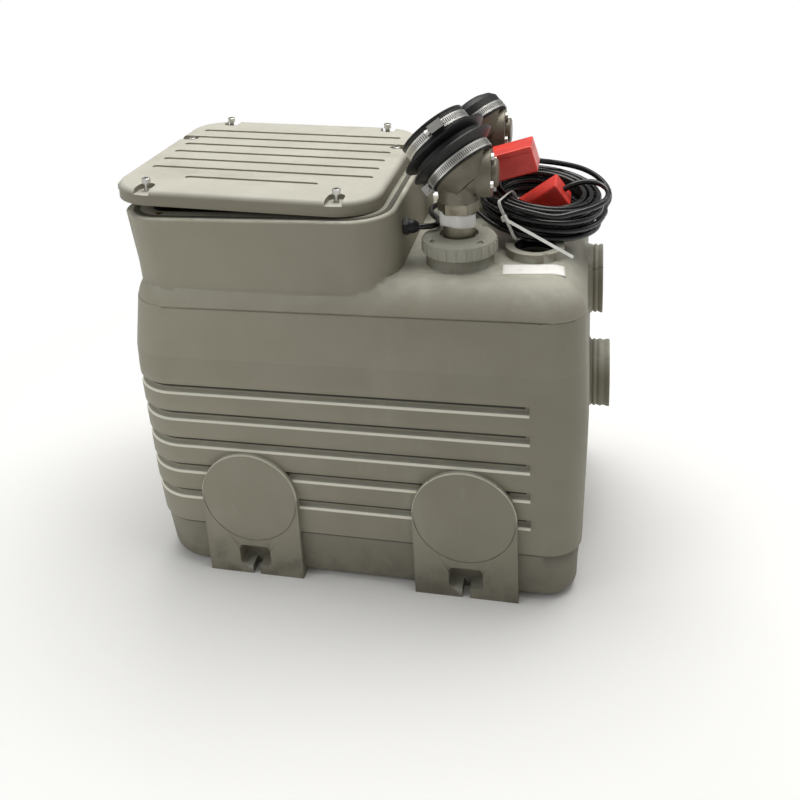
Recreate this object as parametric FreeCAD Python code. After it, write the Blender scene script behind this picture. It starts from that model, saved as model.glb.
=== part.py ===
"""Twin pump sewage lifting station: a ribbed polyethylene tank with a raised access box.

Millimetres. The origin is the middle of the tank's footprint on the floor, +X runs along the
tank towards the inlets, -Y is the side with the two anchor pads seen first, and +Z is up.
The lid lies loose on the box, pushed to one side, with its left lip up on the rim.
"""
import FreeCAD, Part
import math
import os

V = FreeCAD.Vector
UP = V(0, 0, 1)
RIGHT = V(1, 0, 0)
BACK = V(0, 1, 0)

# Tank shell
tank_length = 706.0
tank_depth = 463.0
shoulder_height = 518.0
wall = 7.0
tank_corner_radius = 55.0
shoulder_radius = 52.0
left_taper = 18.0
right_taper = 5.0
side_taper = 2.0
foot_band_height = 84.0
foot_band_setback = 3.0
foot_radius = 22.0
groove_count = 5
groove_pitch = 48.5
groove_first_z = 131.0
groove_height = 14.0
groove_depth = 8.0
groove_slope = 6.0
groove_end_x = 259.0

# Anchor pads on the front and the back
pad_width = 160.0
pad_proud = 8.5
pad_disc_z = 143.4
pad_spacing = 344.0
pad_middle_x = 1.0
pad_line_width = 2.0
pad_line_depth = 1.2
anchor_window_width = 53.0
anchor_window_height = 38.0
anchor_window_sill = 16.0
anchor_window_depth = 27.0
anchor_window_radius = 9.0
anchor_slot_width = 12.0

# Access box and its rim
box_left_x = -349.0
box_length = 426.0
box_depth = 432.0
box_height = 610.0
box_corner_radius = 70.0
box_flare = 8.0
rim_width = 36.0
rim_thickness = 16.0
rim_edge_radius = 5.0
gasket_inset = 8.0
gasket_width = 7.0
gasket_groove_depth = 4.0
gasket_proud = 1.0

# Lid
lid_edge_gap = 2.0
lid_thickness = 24.0
lid_skin = 6.0
lid_edge_radius = 9.0
lip_height = 18.0
lip_thickness = 5.0
lip_clearance = 3.0
lip_side_clearance = 18.0
lid_shift_left = 20.0
lid_shift_back = 8.0
lid_groove_pitch = 46.0
lid_groove_width = 12.0
lid_groove_depth = 2.5
lid_groove_half = 178.0
lid_rib_thickness = 4.0
lug_radius = 11.0
rest_gap = 0.3

# Lid screws and their inserts
screw_inset = 24.0
screw_offset_x = 150.0
side_screw_y = 85.0
screw_radius = 4.0
screw_length = 30.0
screw_head_radius = 6.5
screw_head_height = 8.0
screw_socket_depth = 4.0
screw_hole_clearance = 0.4
screw_lift = 12.0
pocket_floor = 16.0
pocket_width = 26.0
insert_radius = 6.0
insert_length = 12.0

# Delivery outlets, one for each pump, in front of and behind the middle
unit_x = 164.0
unit_y = 122.0
collar_radius = 50.5
collar_bore = 40.0
collar_height = 28.0
nut_radius = 55.0
nut_height = 27.0
nut_lift = 18.0
nut_hole_radius = 29.0
nut_ribs = 24
nut_rib_proud = 1.4
nut_clearance = 0.4
seal_thickness = 3.0
tail_flange_thickness = 7.0
tail_tube_radius = 38.0
tail_length = 46.0
pipe_radius = 25.0
pipe_bore = 20.0
nipple_radius = 24.0
nipple_bore = 19.0
hex_across = 54.0
hex_height = 16.0
nipple_show = 36.0
thread_grip = 10.0

# Ball check valve
valve_neck_radius = 29.0
valve_neck_height = 9.0
valve_rise = 42.0
bell_end = -3.0
bell_length = 24.0
bell_radius = 34.0
valve_wall = 6.0
branch_radius = 49.0
branch_lean = 45.0
branch_heading = 152.6
branch_shift_x = 9.0
branch_shift_z = 6.0
branch_end = 15.0
cover_radius = 36.0
cover_reach = 40.0
cover_neck_radius = 32.0
cover_thickness = 11.0
flange_thickness = 10.0
cover_bolt_radius = 4.0
cover_bolt_circle = 28.5
cover_bolt_turn = 111.0
cover_bolt_head = 10.0
cover_boss_radius = 21.0
cover_boss_height = 9.0
ball_radius = 23.0
ball_room = 2.0
ball_seat_radius = 18.0

# Rubber couplings and their clamps
cuff_wall = 4.0
cuff_start = -1.0
cuff_room = 0.6
mouth_step = 1.2
clamp_middle = 7.5
coupling_length = 77.0
lip_radius = 69.0
cap_length = 42.0
clamp_width = 13.0
clamp_thickness = 1.0
worm_radius = 5.0
worm_length = 22.0

# Vent and inlets
vent_x = 273.0
vent_y = -82.0
vent_radius = 44.0
vent_height = 13.0
vent_bore = 31.0
vent_seal_bore = 25.0
inlet_y = 40.0
lower_inlet_z = 256.0
inlet_spacing = 172.0
inlet_radius = 55.0
inlet_bore = 50.0
lower_inlet_reach = 34.0
upper_inlet_reach = 21.0
inlet_collar_radius = 60.0
inlet_collar_length = 14.0

# Cable glands on the box's right wall
gland_z = 570.0
gland_middle_y = -18.0
gland_spacing = 200.0
gland_hex_across = 24.0
gland_reach = 22.0
gland_thread_radius = 8.0
cable_radius = 4.5

# Pumps
pump_x = 12.0
motor_radius = 66.0
motor_length = 178.0
motor_foot_z = 146.0
top_height = 42.0
volute_radius = 84.0
volute_height = 66.0
volute_wall = 7.0
outlet_z = 112.0
foot_height = 62.0
foot_radius_outer = 78.0
foot_plate = 7.0
foot_post_radius = 7.0
foot_posts = 4
suction_radius = 26.0
impeller_radius = 62.0
impeller_height = 20.0
impeller_vanes = 6
impeller_gap = 3.0
shaft_radius = 9.0
bearing_clearance = 0.05
shaft_length = 92.0
handle_bar_radius = 6.0
handle_span = 74.0
handle_rise = 34.0
elbow_bend = 38.0
socket_depth = 22.0

# Float switches
float_radius = 22.0
float_length = 72.0
float_arm = 66.0
float_cable_radius = 4.0
float_pivot_x = -100.0
float_pivot_z = 300.0
float_pin_radius = 3.5
float_eye_radius = 8.0
float_eye_width = 10.0
bracket_cheek = 4.0

# Coiled pump leads
coil_x = 275.0
coil_y = 12.0
coil_foot_z = 546.4
coil_radius = 99.0
coil_step = 11.4
coil_layer = 13.0
coil_turns_in = 3
coil_tilt_back = 5.0
coil_tilt_right = 8.3
coil_stack = 13.5
coil_straight = 9.0
front_lead_exit = 12.0
rear_lead_exit = 15.0
front_coil_approach = 18.0
rear_coil_approach = 17.0
coil_leave = 19.0
control_approach = 20.0
inner_lead_rise = 30.0

# Control boxes at the ends of the leads
control_length = 92.0
control_width = 62.0
control_depth = 42.0
control_edge = 3.0
front_control_middle = (226.0, -8.0, 641.0)
front_control_roll = 16.0
rear_control_middle = (275.0, 12.0, 562.5)
rear_control_roll = 35.0
tie_width = 4.6
tie_thickness = 1.4
tie_angle = 252.0
tie_lean = 34.0
tie_inner = 50.0
tie_outer = 106.5
tie_low = -10.0
tie_high = 58.0
tie_corner = 9.0
tie_head_rise = 26.0
tie_head_width = 8.0
tie_head_height = 9.0
tie_head_depth = 7.0
tie_tail_end = (330.0, -131.0, 532.0)


def box_between(x0, x1, y0, y1, z0, z1):
    """A block between six planes."""
    return Part.makeBox(x1 - x0, y1 - y0, z1 - z0, V(x0, y0, z0))


def rod(radius, length, start, direction=UP):
    """A cylinder from a point along a direction."""
    return Part.makeCylinder(radius, length, start, direction)


def ring(outer, inner, length, start, direction=UP):
    """A tube from a point along a direction."""
    return rod(outer, length, start, direction).cut(rod(inner, length, start, direction))


def prism(points, direction):
    """A straight prism from a closed outline."""
    wire = Part.makePolygon(points + [points[0]])
    return Part.Face(wire).extrude(direction)


def turned(profile, place=None):
    """A solid of revolution about the Z axis from (radius, height) points."""
    points = [V(r, 0, z) for r, z in profile]
    wire = Part.makePolygon(points + [points[0]])
    solid = Part.Face(wire).revolve(V(0, 0, 0), UP, 360)
    if place is not None:
        solid.Placement = place
    return solid


def hexagon(across, height, start, direction=UP):
    """A hexagonal prism, its size measured across the flats."""
    corner = across / math.sqrt(3)
    points = [V(corner * math.cos(math.radians(60 * i)), corner * math.sin(math.radians(60 * i)), 0)
              for i in range(6)]
    solid = prism(points, V(0, 0, height))
    solid.Placement = FreeCAD.Placement(start, FreeCAD.Rotation(UP, direction))
    return solid


def rounded_outline(x0, x1, y0, y1, radius, z):
    """A level rectangle with round corners."""
    middle = radius * (1 - math.sqrt(0.5))
    corners = [(x1, y0, -1, 1), (x1, y1, -1, -1), (x0, y1, 1, -1), (x0, y0, 1, 1)]
    edges = []
    ends = []
    for i, (x, y, sx, sy) in enumerate(corners):
        along_x = V(x + sx * radius, y, z)
        along_y = V(x, y + sy * radius, z)
        knee = V(x + sx * middle, y + sy * middle, z)
        first, last = (along_x, along_y) if i % 2 == 0 else (along_y, along_x)
        edges.append(Part.Arc(first, knee, last).toShape())
        ends.append((first, last))
    sides = [Part.LineSegment(ends[i][1], ends[(i + 1) % 4][0]).toShape() for i in range(4)]
    return Part.Wire([edge for pair in zip(edges, sides) for edge in pair])


def rounded_slab(x0, x1, y0, y1, radius, z0, z1):
    """A slab whose plan is a rectangle with round corners."""
    return Part.Face(rounded_outline(x0, x1, y0, y1, radius, z0)).extrude(V(0, 0, z1 - z0))


def tank_outline(z, inset):
    """The tank's plan at one height, drawn in from its outer face."""
    low = 1 - z / shoulder_height
    x0 = -tank_length / 2 + left_taper * low + inset
    x1 = tank_length / 2 - right_taper * low - inset
    y1 = tank_depth / 2 - side_taper * low - inset
    return rounded_outline(x0, x1, -y1, y1, tank_corner_radius - inset, z)


def tank_block(inset, z0, z1, top_inset=None):
    """The tank's body between two heights."""
    upper = inset if top_inset is None else top_inset
    return Part.makeLoft([tank_outline(z0, inset), tank_outline(z1, upper)], True, True)


def edges_at(shape, z, reach=0.01):
    """The edges that lie wholly at one height."""
    return [e for e in shape.Edges if abs(e.BoundBox.ZMin - z) < reach and abs(e.BoundBox.ZMax - z) < reach]


def box_outline(z, inset):
    """The access box's plan at one height; its right wall flares towards the foot."""
    foot = shoulder_height - shoulder_radius
    flare = box_flare * (box_height - z) / (box_height - foot)
    half = box_depth / 2 - inset
    return rounded_outline(box_left_x + inset, box_left_x + box_length + flare - inset,
                           -half, half, box_corner_radius - inset, z)


def box_wall_x(z):
    """Where the box's right wall stands at one height."""
    foot = shoulder_height - shoulder_radius
    return box_left_x + box_length + box_flare * (box_height - z) / (box_height - foot)


def groove_cutter(index, inset):
    """One moulded groove round the front, the left end and the back, with a sloped lower ledge."""
    low = groove_first_z + index * groove_pitch - groove_height / 2 - inset / 2
    high = low + groove_height + inset
    ledge = low + groove_slope
    band = tank_block(-20.0 + inset, low, high)
    core = tank_block(inset, low, ledge, inset + groove_depth)
    core = core.fuse(tank_block(inset + groove_depth, ledge, high))
    keep = box_between(-tank_length, groove_end_x + inset, -tank_depth, tank_depth, low - 1, high + 1)
    return band.cut(core).common(keep)


def pad_plate(x, inset, proud):
    """One anchor pad on the front: straight sides and a half-round top."""
    radius = pad_width / 2 - inset
    face = tank_depth / 2 + proud
    deep = face - tank_depth / 2 + 20
    plate = rod(radius, deep, V(x, -face, pad_disc_z), BACK)
    return plate.fuse(box_between(x - radius, x + radius, -face, -face + deep, inset, pad_disc_z))


def anchor_pocket(x, grow):
    """The pocket for an anchor bolt at the foot of a pad."""
    half = anchor_window_width / 2 + grow
    face = tank_depth / 2 + pad_proud
    z0 = anchor_window_sill - grow
    z1 = anchor_window_sill + anchor_window_height + grow
    block = box_between(x - half, x + half, -face - 1, -face + anchor_window_depth + grow, z0, z1)
    upright = [e for e in block.Edges if e.BoundBox.YLength > anchor_window_depth]
    return block.makeFillet(anchor_window_radius, upright)


def both_sides(shape):
    """A shape on the front together with its mirror image on the back."""
    return shape.fuse(shape.mirror(V(0, 0, 0), BACK))


def pad_places():
    """The X places of the two pads on a side."""
    return [pad_middle_x - pad_spacing / 2, pad_middle_x + pad_spacing / 2]


def inlet_places():
    """Each inlet's name, height and reach from the wall."""
    return [("lower", lower_inlet_z, lower_inlet_reach),
            ("upper", lower_inlet_z + inlet_spacing, upper_inlet_reach)]


def unit_places():
    """The side name and Y place of each delivery unit."""
    return [("front", -unit_y), ("rear", unit_y)]


def tank_outside():
    """The tank's outer form before its grooves and openings."""
    body = tank_block(0.0, foot_band_height, shoulder_height)
    body = body.makeFillet(shoulder_radius, edges_at(body, shoulder_height))
    foot = tank_block(foot_band_setback, 0.0, foot_band_height)
    foot = foot.makeFillet(foot_radius, edges_at(foot, 0.0))
    access = Part.makeLoft([box_outline(shoulder_height - shoulder_radius, 0.0),
                            box_outline(box_height, 0.0)], True, True)
    access = access.makeFillet(rim_edge_radius, edges_at(access, box_height))
    return body.fuse(foot).fuse(access)


def tank_inside():
    """The hollow of the tank and the box, up to the underside of the rim."""
    top = shoulder_height - wall
    body = tank_block(wall, foot_band_height, top)
    body = body.makeFillet(shoulder_radius - wall, edges_at(body, top))
    foot = tank_block(wall + foot_band_setback, wall, foot_band_height)
    foot = foot.makeFillet(foot_radius - wall, edges_at(foot, wall))
    access = Part.makeLoft([box_outline(shoulder_height - shoulder_radius, wall),
                            box_outline(box_height - rim_thickness, wall)], True, True)
    return body.fuse(foot).fuse(access)


def mouth_slab(inset, z0, z1):
    """The access mouth's plan, drawn in from the rim's inner edge."""
    side = rim_width + inset
    half = box_depth / 2 - side
    return rounded_slab(box_left_x + side, box_left_x + box_length - side, -half, half,
                        box_corner_radius - side, z0, z1)


def rim_band(inner, outer, z0, z1):
    """A band round the rim between two insets from its outer face."""
    half = box_depth / 2
    right = box_left_x + box_length
    big = rounded_slab(box_left_x + outer, right - outer, -half + outer, half - outer,
                       box_corner_radius - outer, z0, z1)
    small = rounded_slab(box_left_x + inner, right - inner, -half + inner, half - inner,
                         box_corner_radius - inner, z0, z1)
    return big.cut(small)


def make_tank_shell():
    """The rotomoulded shell with its pads, grooves, stubs, box and rim."""
    outer = tank_outside()
    hollow = tank_inside()
    for x in pad_places():
        outer = outer.fuse(both_sides(pad_plate(x, 0.0, pad_proud)))
    keep = box_between(-tank_length, tank_length, -tank_depth / 2 - pad_proud, tank_depth / 2 + pad_proud,
                       0, box_height + 1)
    outer = outer.common(keep)
    pads = [both_sides(pad_plate(x, -0.1, pad_proud + 1)) for x in pad_places()]
    for index in range(groove_count):
        cutter = groove_cutter(index, 0.0)
        for pad in pads:
            cutter = cutter.cut(pad)
        outer = outer.cut(cutter)
        hollow = hollow.cut(groove_cutter(index, wall))
    for x in pad_places():
        line = ring(pad_width / 2 - 6, pad_width / 2 - 6 - pad_line_width, pad_line_depth + 1,
                    V(x, -tank_depth / 2 - pad_proud - 1, pad_disc_z), BACK)
        outer = outer.cut(both_sides(line))
        slot = box_between(x - anchor_slot_width / 2, x + anchor_slot_width / 2, -tank_depth,
                           -tank_depth / 2 - pad_proud + anchor_window_depth, -1, anchor_window_sill + 5)
        outer = outer.cut(both_sides(anchor_pocket(x, 0.0).fuse(slot)))
        shield = box_between(x - anchor_slot_width / 2 - wall, x + anchor_slot_width / 2 + wall, -tank_depth,
                             -tank_depth / 2 - pad_proud + anchor_window_depth + wall, 0,
                             anchor_window_sill + 5)
        hollow = hollow.cut(both_sides(anchor_pocket(x, wall).fuse(shield)))
    for _, y in unit_places():
        base = shoulder_height - wall
        outer = outer.fuse(rod(collar_radius, collar_height + wall, V(unit_x, y, base)))
        hollow = hollow.fuse(rod(collar_bore, collar_height + 2 * wall + 1, V(unit_x, y, base - wall)))
    vent_base = V(vent_x, vent_y, shoulder_height - 2 * wall)
    outer = outer.fuse(rod(vent_radius, vent_height + 2 * wall, vent_base))
    hollow = hollow.fuse(rod(vent_bore, vent_height + 2 * wall + 1, vent_base))
    wall_x = tank_length / 2 - right_taper
    for _, z, reach in inlet_places():
        start = V(wall_x - 2 * wall, inlet_y, z)
        outer = outer.fuse(rod(inlet_radius, reach + right_taper + 2 * wall, start, RIGHT))
        outer = outer.fuse(rod(inlet_collar_radius, inlet_collar_length + right_taper + wall,
                               V(wall_x - wall, inlet_y, z), RIGHT))
        hollow = hollow.fuse(rod(inlet_bore, reach + right_taper + 2 * wall + 2, start, RIGHT))
    shell = outer.cut(hollow).cut(mouth_slab(0.0, box_height - rim_thickness - 1, box_height + 1))
    shell = shell.cut(rim_band(gasket_inset + gasket_width, gasket_inset,
                               box_height - gasket_groove_depth, box_height + 1))
    for x, y in screw_places():
        shell = shell.cut(rod(insert_radius, insert_length, V(x, y, box_height - insert_length)))
    for y in gland_places():
        hole = rod(gland_thread_radius, 4 * wall, V(box_wall_x(gland_z) - 2 * wall, y, gland_z), RIGHT)
        shell = shell.cut(hole)
    return shell.removeSplitter()


def gland_places():
    """The Y places of the two cable glands."""
    return [gland_middle_y - gland_spacing / 2, gland_middle_y + gland_spacing / 2]


def lid_half_sizes():
    """Half the lid's length and half its depth."""
    return box_length / 2 - lid_edge_gap, box_depth / 2 - lid_edge_gap


def lid_middle_x():
    """The X place of the box's middle, where the seated lid is centred."""
    return box_left_x + box_length / 2


def screw_offsets():
    """The lid screws' places from the lid's middle."""
    half_x, half_y = lid_half_sizes()
    row = half_y - screw_inset
    side = half_x - screw_inset
    return [(-screw_offset_x, -row), (screw_offset_x, -row), (-screw_offset_x, row),
            (screw_offset_x, row), (-side, side_screw_y), (side, side_screw_y)]


def screw_places():
    """Where the inserts stand in the rim."""
    return [(lid_middle_x() + x, y) for x, y in screw_offsets()]


def lid_tilt():
    """The lid's lean in degrees, from its lip on the left rim to its right end."""
    half_x, _ = lid_half_sizes()
    lip_outer = box_length / 2 - rim_width - lip_clearance
    return math.degrees(math.asin(lip_height / (half_x + lip_outer)))


def lid_place():
    """From the lid's own middle, at the height of its underside, to where it lies."""
    half_x, _ = lid_half_sizes()
    tilt = lid_tilt()
    turn = FreeCAD.Rotation(BACK, tilt)
    right_end = turn.multVec(V(half_x, 0, 0))
    z = box_height + gasket_proud + rest_gap - right_end.z
    return FreeCAD.Placement(V(lid_middle_x() - lid_shift_left, lid_shift_back, z), turn)


def lid_plan(inset, z0, z1):
    """A slab of the lid's plan, drawn in from its edge."""
    half_x, half_y = lid_half_sizes()
    return rounded_slab(-half_x + inset, half_x - inset, -half_y + inset, half_y - inset,
                        box_corner_radius - lid_edge_gap - inset, z0, z1)


def lip_plan(inset, z0, z1):
    """A slab of the locating lip's plan, drawn in from its outer face."""
    half_x = box_length / 2 - rim_width - lip_clearance - inset
    half_y = box_depth / 2 - rim_width - lip_side_clearance - inset
    return rounded_slab(-half_x, half_x, -half_y, half_y,
                        box_corner_radius - rim_width - lip_clearance - inset, z0, z1)


def screw_pocket(x, y):
    """The scoop round one screw, open to the nearer edge of the lid."""
    half_x, half_y = lid_half_sizes()
    radius = pocket_width / 2
    scoop = rod(radius, lid_thickness, V(x, y, pocket_floor))
    if abs(x) > screw_offset_x + 1:
        end = math.copysign(half_x + 5, x)
        run = box_between(min(x, end), max(x, end), y - radius, y + radius, pocket_floor, 2 * lid_thickness)
    else:
        end = math.copysign(half_y + 5, y)
        run = box_between(x - radius, x + radius, min(y, end), max(y, end), pocket_floor, 2 * lid_thickness)
    return scoop.fuse(run)


def lid_groove(index):
    """One shallow groove along the lid's top, with round ends."""
    y = index * lid_groove_pitch
    left = -lid_groove_half
    right = lid_groove_half
    if index == -3:
        left = -screw_offset_x + pocket_width + 22
        right = screw_offset_x - pocket_width - 22
    half = lid_groove_width / 2
    z = lid_thickness - lid_groove_depth
    bar = box_between(left, right, y - half, y + half, z, lid_thickness + 1)
    for x in (left, right):
        bar = bar.fuse(rod(half, lid_groove_depth + 1, V(x, y, z)))
    return bar


def make_lid():
    """The moulded lid: a skinned top with an edge, ribs, screw bosses and a locating lip below."""
    half_x, half_y = lid_half_sizes()
    lid = lid_plan(0.0, 0.0, lid_thickness)
    lid = lid.makeFillet(lid_edge_radius, edges_at(lid, lid_thickness))
    pocket = lid_plan(rim_width, -1.0, lid_thickness - lid_skin)
    ribs = box_between(-half_x, half_x, -lid_rib_thickness / 2, lid_rib_thickness / 2, 0, lid_thickness)
    for x in (-half_x / 2, 0.0, half_x / 2):
        rib = box_between(x - lid_rib_thickness / 2, x + lid_rib_thickness / 2, -half_y, half_y, 0, lid_thickness)
        ribs = ribs.fuse(rib)
    lid = lid.cut(pocket.cut(ribs))
    lip = lip_plan(0.0, -lip_height, 0.5).cut(lip_plan(lip_thickness, -lip_height - 1, 1.0))
    lid = lid.fuse(lip)
    for x, y in screw_offsets():
        lid = lid.cut(screw_pocket(x, y))
        lid = lid.cut(rod(screw_radius + screw_hole_clearance, 2 * lid_thickness, V(x, y, -1)))
    for index in range(-3, 4):
        lid = lid.cut(lid_groove(index))
    lug = rod(lug_radius, 9, V(-half_x, -half_y + 72, 1))
    lid = lid.fuse(lug).removeSplitter()
    lid.Placement = lid_place()
    return lid


def make_lid_screws():
    """Six socket head screws, the front and back ones standing a little out of their holes."""
    screws = []
    for x, y in screw_offsets():
        lift = 0.0 if abs(x) > screw_offset_x + 1 else screw_lift
        seat = pocket_floor + lift + rest_gap
        profile = [(0, seat - screw_length), (screw_radius - 1, seat - screw_length),
                   (screw_radius, seat - screw_length + 1), (screw_radius, seat), (screw_head_radius, seat),
                   (screw_head_radius, seat + screw_head_height - 1),
                   (screw_head_radius - 1, seat + screw_head_height), (0, seat + screw_head_height)]
        screw = turned(profile)
        screw.translate(V(x, y, 0))
        socket = hexagon(screw_head_radius, screw_socket_depth,
                         V(x, y, seat + screw_head_height - screw_socket_depth))
        screws.append(screw.cut(socket))
    group = Part.makeCompound(screws)
    group.Placement = lid_place()
    return group


def make_lid_gasket():
    """The rubber seal in the rim's groove."""
    return rim_band(gasket_inset + gasket_width, gasket_inset, box_height - gasket_groove_depth,
                    box_height + gasket_proud)


def make_rim_inserts():
    """Six threaded inserts set flush in the rim."""
    bases = [V(x, y, box_height - insert_length) for x, y in screw_places()]
    return Part.makeCompound([ring(insert_radius, screw_radius, insert_length, base) for base in bases])


def nut_base_z():
    """The height of the union nut's lower face."""
    return shoulder_height + nut_lift


def flange_foot_z():
    """The height of the face under the tail's flange, on its seal."""
    return shoulder_height + collar_height + seal_thickness


def make_outlet_nut(y):
    """A ribbed union nut with a shallow crown, free to turn round the collar."""
    z = nut_base_z()
    top = z + nut_height
    inner = collar_radius + nut_clearance
    ceiling = flange_foot_z() + tail_flange_thickness + nut_clearance
    profile = [(inner, z), (nut_radius - 1.5, z), (nut_radius, z + 2), (nut_radius, top - 6),
               (nut_radius - 5, top - 1), (nut_radius - 12, top), (nut_hole_radius, top),
               (nut_hole_radius, ceiling), (inner, ceiling)]
    nut = turned(profile)
    rib = rod(nut_rib_proud * 2, nut_height - 12, V(nut_radius - 0.6, 0, z + 3))
    ribs = []
    for i in range(nut_ribs):
        copy = rib.copy()
        copy.rotate(V(0, 0, 0), UP, 360.0 * i / nut_ribs)
        ribs.append(copy)
    nut = nut.multiFuse(ribs)
    for i in range(4):
        notch = box_between(nut_radius - 9, nut_radius + 5, -5, 5, top - 3.5, top + 1)
        notch.rotate(V(0, 0, 0), UP, 45 + 90 * i)
        nut = nut.cut(notch)
    nut.translate(V(unit_x, y, 0))
    return nut


def make_outlet_seals():
    """Two flat rubber seals between the collars and the tails."""
    seals = []
    for _, y in unit_places():
        seals.append(ring(collar_radius - 2, collar_bore, seal_thickness,
                          V(unit_x, y, shoulder_height + collar_height)))
    return Part.makeCompound(seals)


def pipe_top_z():
    """The height where the riser pipe ends in the tail's socket."""
    return flange_foot_z() - 8


def make_outlet_tail(y):
    """The flanged bush under the nut: a thread for the nipple above, a socket for the riser below."""
    foot = flange_foot_z()
    top = foot + tail_flange_thickness
    low = foot - tail_length
    profile = [(nipple_bore, pipe_top_z()), (nipple_bore, foot - 2), (nipple_radius, foot - 2),
               (nipple_radius, top), (collar_radius - 1, top), (collar_radius - 1, foot),
               (tail_tube_radius, foot), (tail_tube_radius, foot - 26), (pipe_radius + 5, foot - 32),
               (pipe_radius + 5, low), (pipe_radius, low), (pipe_radius, pipe_top_z())]
    tail = turned(profile)
    tail.translate(V(unit_x, y, 0))
    return tail


def nipple_foot_z():
    """The height of the nipple's lower end, on the shoulder inside the tail."""
    return flange_foot_z() - 2


def valve_foot_z():
    """The height of the valve's lower face, on the nipple's hexagon."""
    return shoulder_height + nut_lift + nut_height + nipple_show + hex_height


def make_nipple(y):
    """A metal nipple with a hexagon under the valve."""
    foot = nipple_foot_z()
    length = valve_foot_z() + thread_grip - foot
    nipple = rod(nipple_radius, length, V(unit_x, y, foot))
    nipple = nipple.fuse(hexagon(hex_across, hex_height, V(unit_x, y, valve_foot_z() - hex_height)))
    return nipple.cut(rod(nipple_bore, length, V(unit_x, y, foot)))


def chamber_centre(y):
    """The middle of the valve's chamber."""
    return V(unit_x, y, valve_foot_z() + valve_rise)


def branch_direction(side):
    """The way the outlet branch leans, up and to the left, turned towards the back."""
    lean = math.radians(branch_lean)
    heading = math.radians(branch_heading)
    return V(math.sin(lean) * math.cos(heading), math.sin(lean) * math.sin(heading), math.cos(lean))


def branch_start(y):
    """The point on the branch's axis under the middle of the lower clamp."""
    return chamber_centre(y).add(V(branch_shift_x, 0, branch_shift_z))


def branch_point(y, side, along):
    """A point on the branch's axis, measured from under the middle of the lower clamp."""
    return branch_start(y).add(V(branch_direction(side)).multiply(along))


def valve_bell(y, side, inset, top):
    """The bell that widens along the branch and ends in its round pipe."""
    wide = branch_radius - inset
    profile = [(0, bell_end - bell_length), (bell_radius - inset, bell_end - bell_length),
               (wide, bell_end), (wide, top), (0, top)]
    return along_branch(y, side, turned(profile))


def cuff_clearance(y, side):
    """The room the rubber cuff needs round the branch."""
    outer = branch_radius + cuff_wall + cuff_room
    start = branch_point(y, side, cuff_start - cuff_room)
    return rod(outer, coupling_length, start, branch_direction(side))


def valve_hollow(y, side):
    """The waterway: the seat, the ball's pocket and the bell up into the branch."""
    centre = chamber_centre(y)
    foot = valve_foot_z()
    room = ball_radius + ball_room
    pocket = rod(room + 1, centre.z + 2 - seat_z(), V(unit_x, y, seat_z()))
    pocket = pocket.fuse(rod(room + 0.5, cover_reach + 5, centre, RIGHT))
    keep = box_between(unit_x - 2 * branch_radius, unit_x + cover_reach, y - 2 * branch_radius,
                       y + 2 * branch_radius, seat_z(), foot + 4 * branch_radius)
    hollow = pocket.fuse(valve_bell(y, side, valve_wall, branch_end + branch_radius)).common(keep)
    hollow = hollow.fuse(rod(ball_seat_radius, seat_z() - foot + 1, V(unit_x, y, foot)))
    return hollow.fuse(rod(nipple_radius, thread_grip, V(unit_x, y, foot)))


def make_valve_body(y, side):
    """The cast ball check valve with a leaning outlet and a flange for its cover."""
    centre = chamber_centre(y)
    face = centre.add(V(cover_reach - flange_thickness, 0, 0))
    body = rod(cover_neck_radius, cover_reach, centre, RIGHT)
    body = body.fuse(rod(cover_radius, flange_thickness, face, RIGHT))
    shoulder = V(unit_x, y, valve_foot_z() + valve_neck_height)
    profile = [(0, valve_foot_z()), (valve_neck_radius, valve_foot_z()), (valve_neck_radius, shoulder.z),
               (cover_neck_radius + 2, centre.z + 4), (0, centre.z + 4)]
    body = body.fuse(turned(profile, FreeCAD.Placement(V(unit_x, y, 0), FreeCAD.Rotation())))
    body = body.cut(cuff_clearance(y, side))
    bell = valve_bell(y, side, 0.0, branch_end)
    cover = rod(cover_radius + 6, 3 * cover_thickness, centre.add(V(cover_reach, 0, 0)), RIGHT)
    bell = bell.cut(cover.cut(cuff_clearance(y, side)))
    return body.fuse(bell).cut(valve_hollow(y, side)).removeSplitter()


def seat_z():
    """The height of the ball's seat."""
    return valve_foot_z() + thread_grip + 2


def cover_bolt_starts(y, reach):
    """Points on the four cover bolts' axes, a distance out from the valve's middle."""
    centre = chamber_centre(y)
    turns = [math.radians(cover_bolt_turn + 90 * i) for i in range(4)]
    return [centre.add(V(reach, cover_bolt_circle * math.cos(t), cover_bolt_circle * math.sin(t)))
            for t in turns]


def make_valve_cover(y, side):
    """The round cover of the valve's ball chamber, with four bolt holes."""
    face = chamber_centre(y).add(V(cover_reach, 0, 0))
    cover = rod(cover_radius, cover_thickness, face, RIGHT)
    rim = [e for e in cover.Edges if abs(e.BoundBox.XMin - face.x - cover_thickness) < 0.01]
    cover = cover.makeFillet(2.0, rim)
    boss = rod(cover_boss_radius, cover_thickness + cover_boss_height, face, RIGHT)
    rim = [e for e in boss.Edges if e.BoundBox.XMin > face.x + cover_thickness + 1]
    cover = cover.fuse(boss.makeFillet(4.0, rim))
    for start in cover_bolt_starts(y, cover_reach - 1):
        cover = cover.cut(rod(cover_bolt_radius, cover_thickness + 2, start, RIGHT))
    return cover.cut(cuff_clearance(y, side))


def make_cover_bolts():
    """Hexagon head bolts of both valve covers."""
    bolts = []
    for _, y in unit_places():
        shanks = cover_bolt_starts(y, cover_reach)
        heads = cover_bolt_starts(y, cover_reach + cover_thickness)
        for shank, head in zip(shanks, heads):
            bolt = rod(cover_bolt_radius, cover_thickness, shank, RIGHT)
            bolts.append(bolt.fuse(hexagon(cover_bolt_head, cover_bolt_radius, head, RIGHT)))
    return Part.makeCompound(bolts)


def make_valve_ball(y):
    """The rubber coated ball, resting on its seat."""
    return Part.makeSphere(ball_radius, ball_rest(y))


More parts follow.
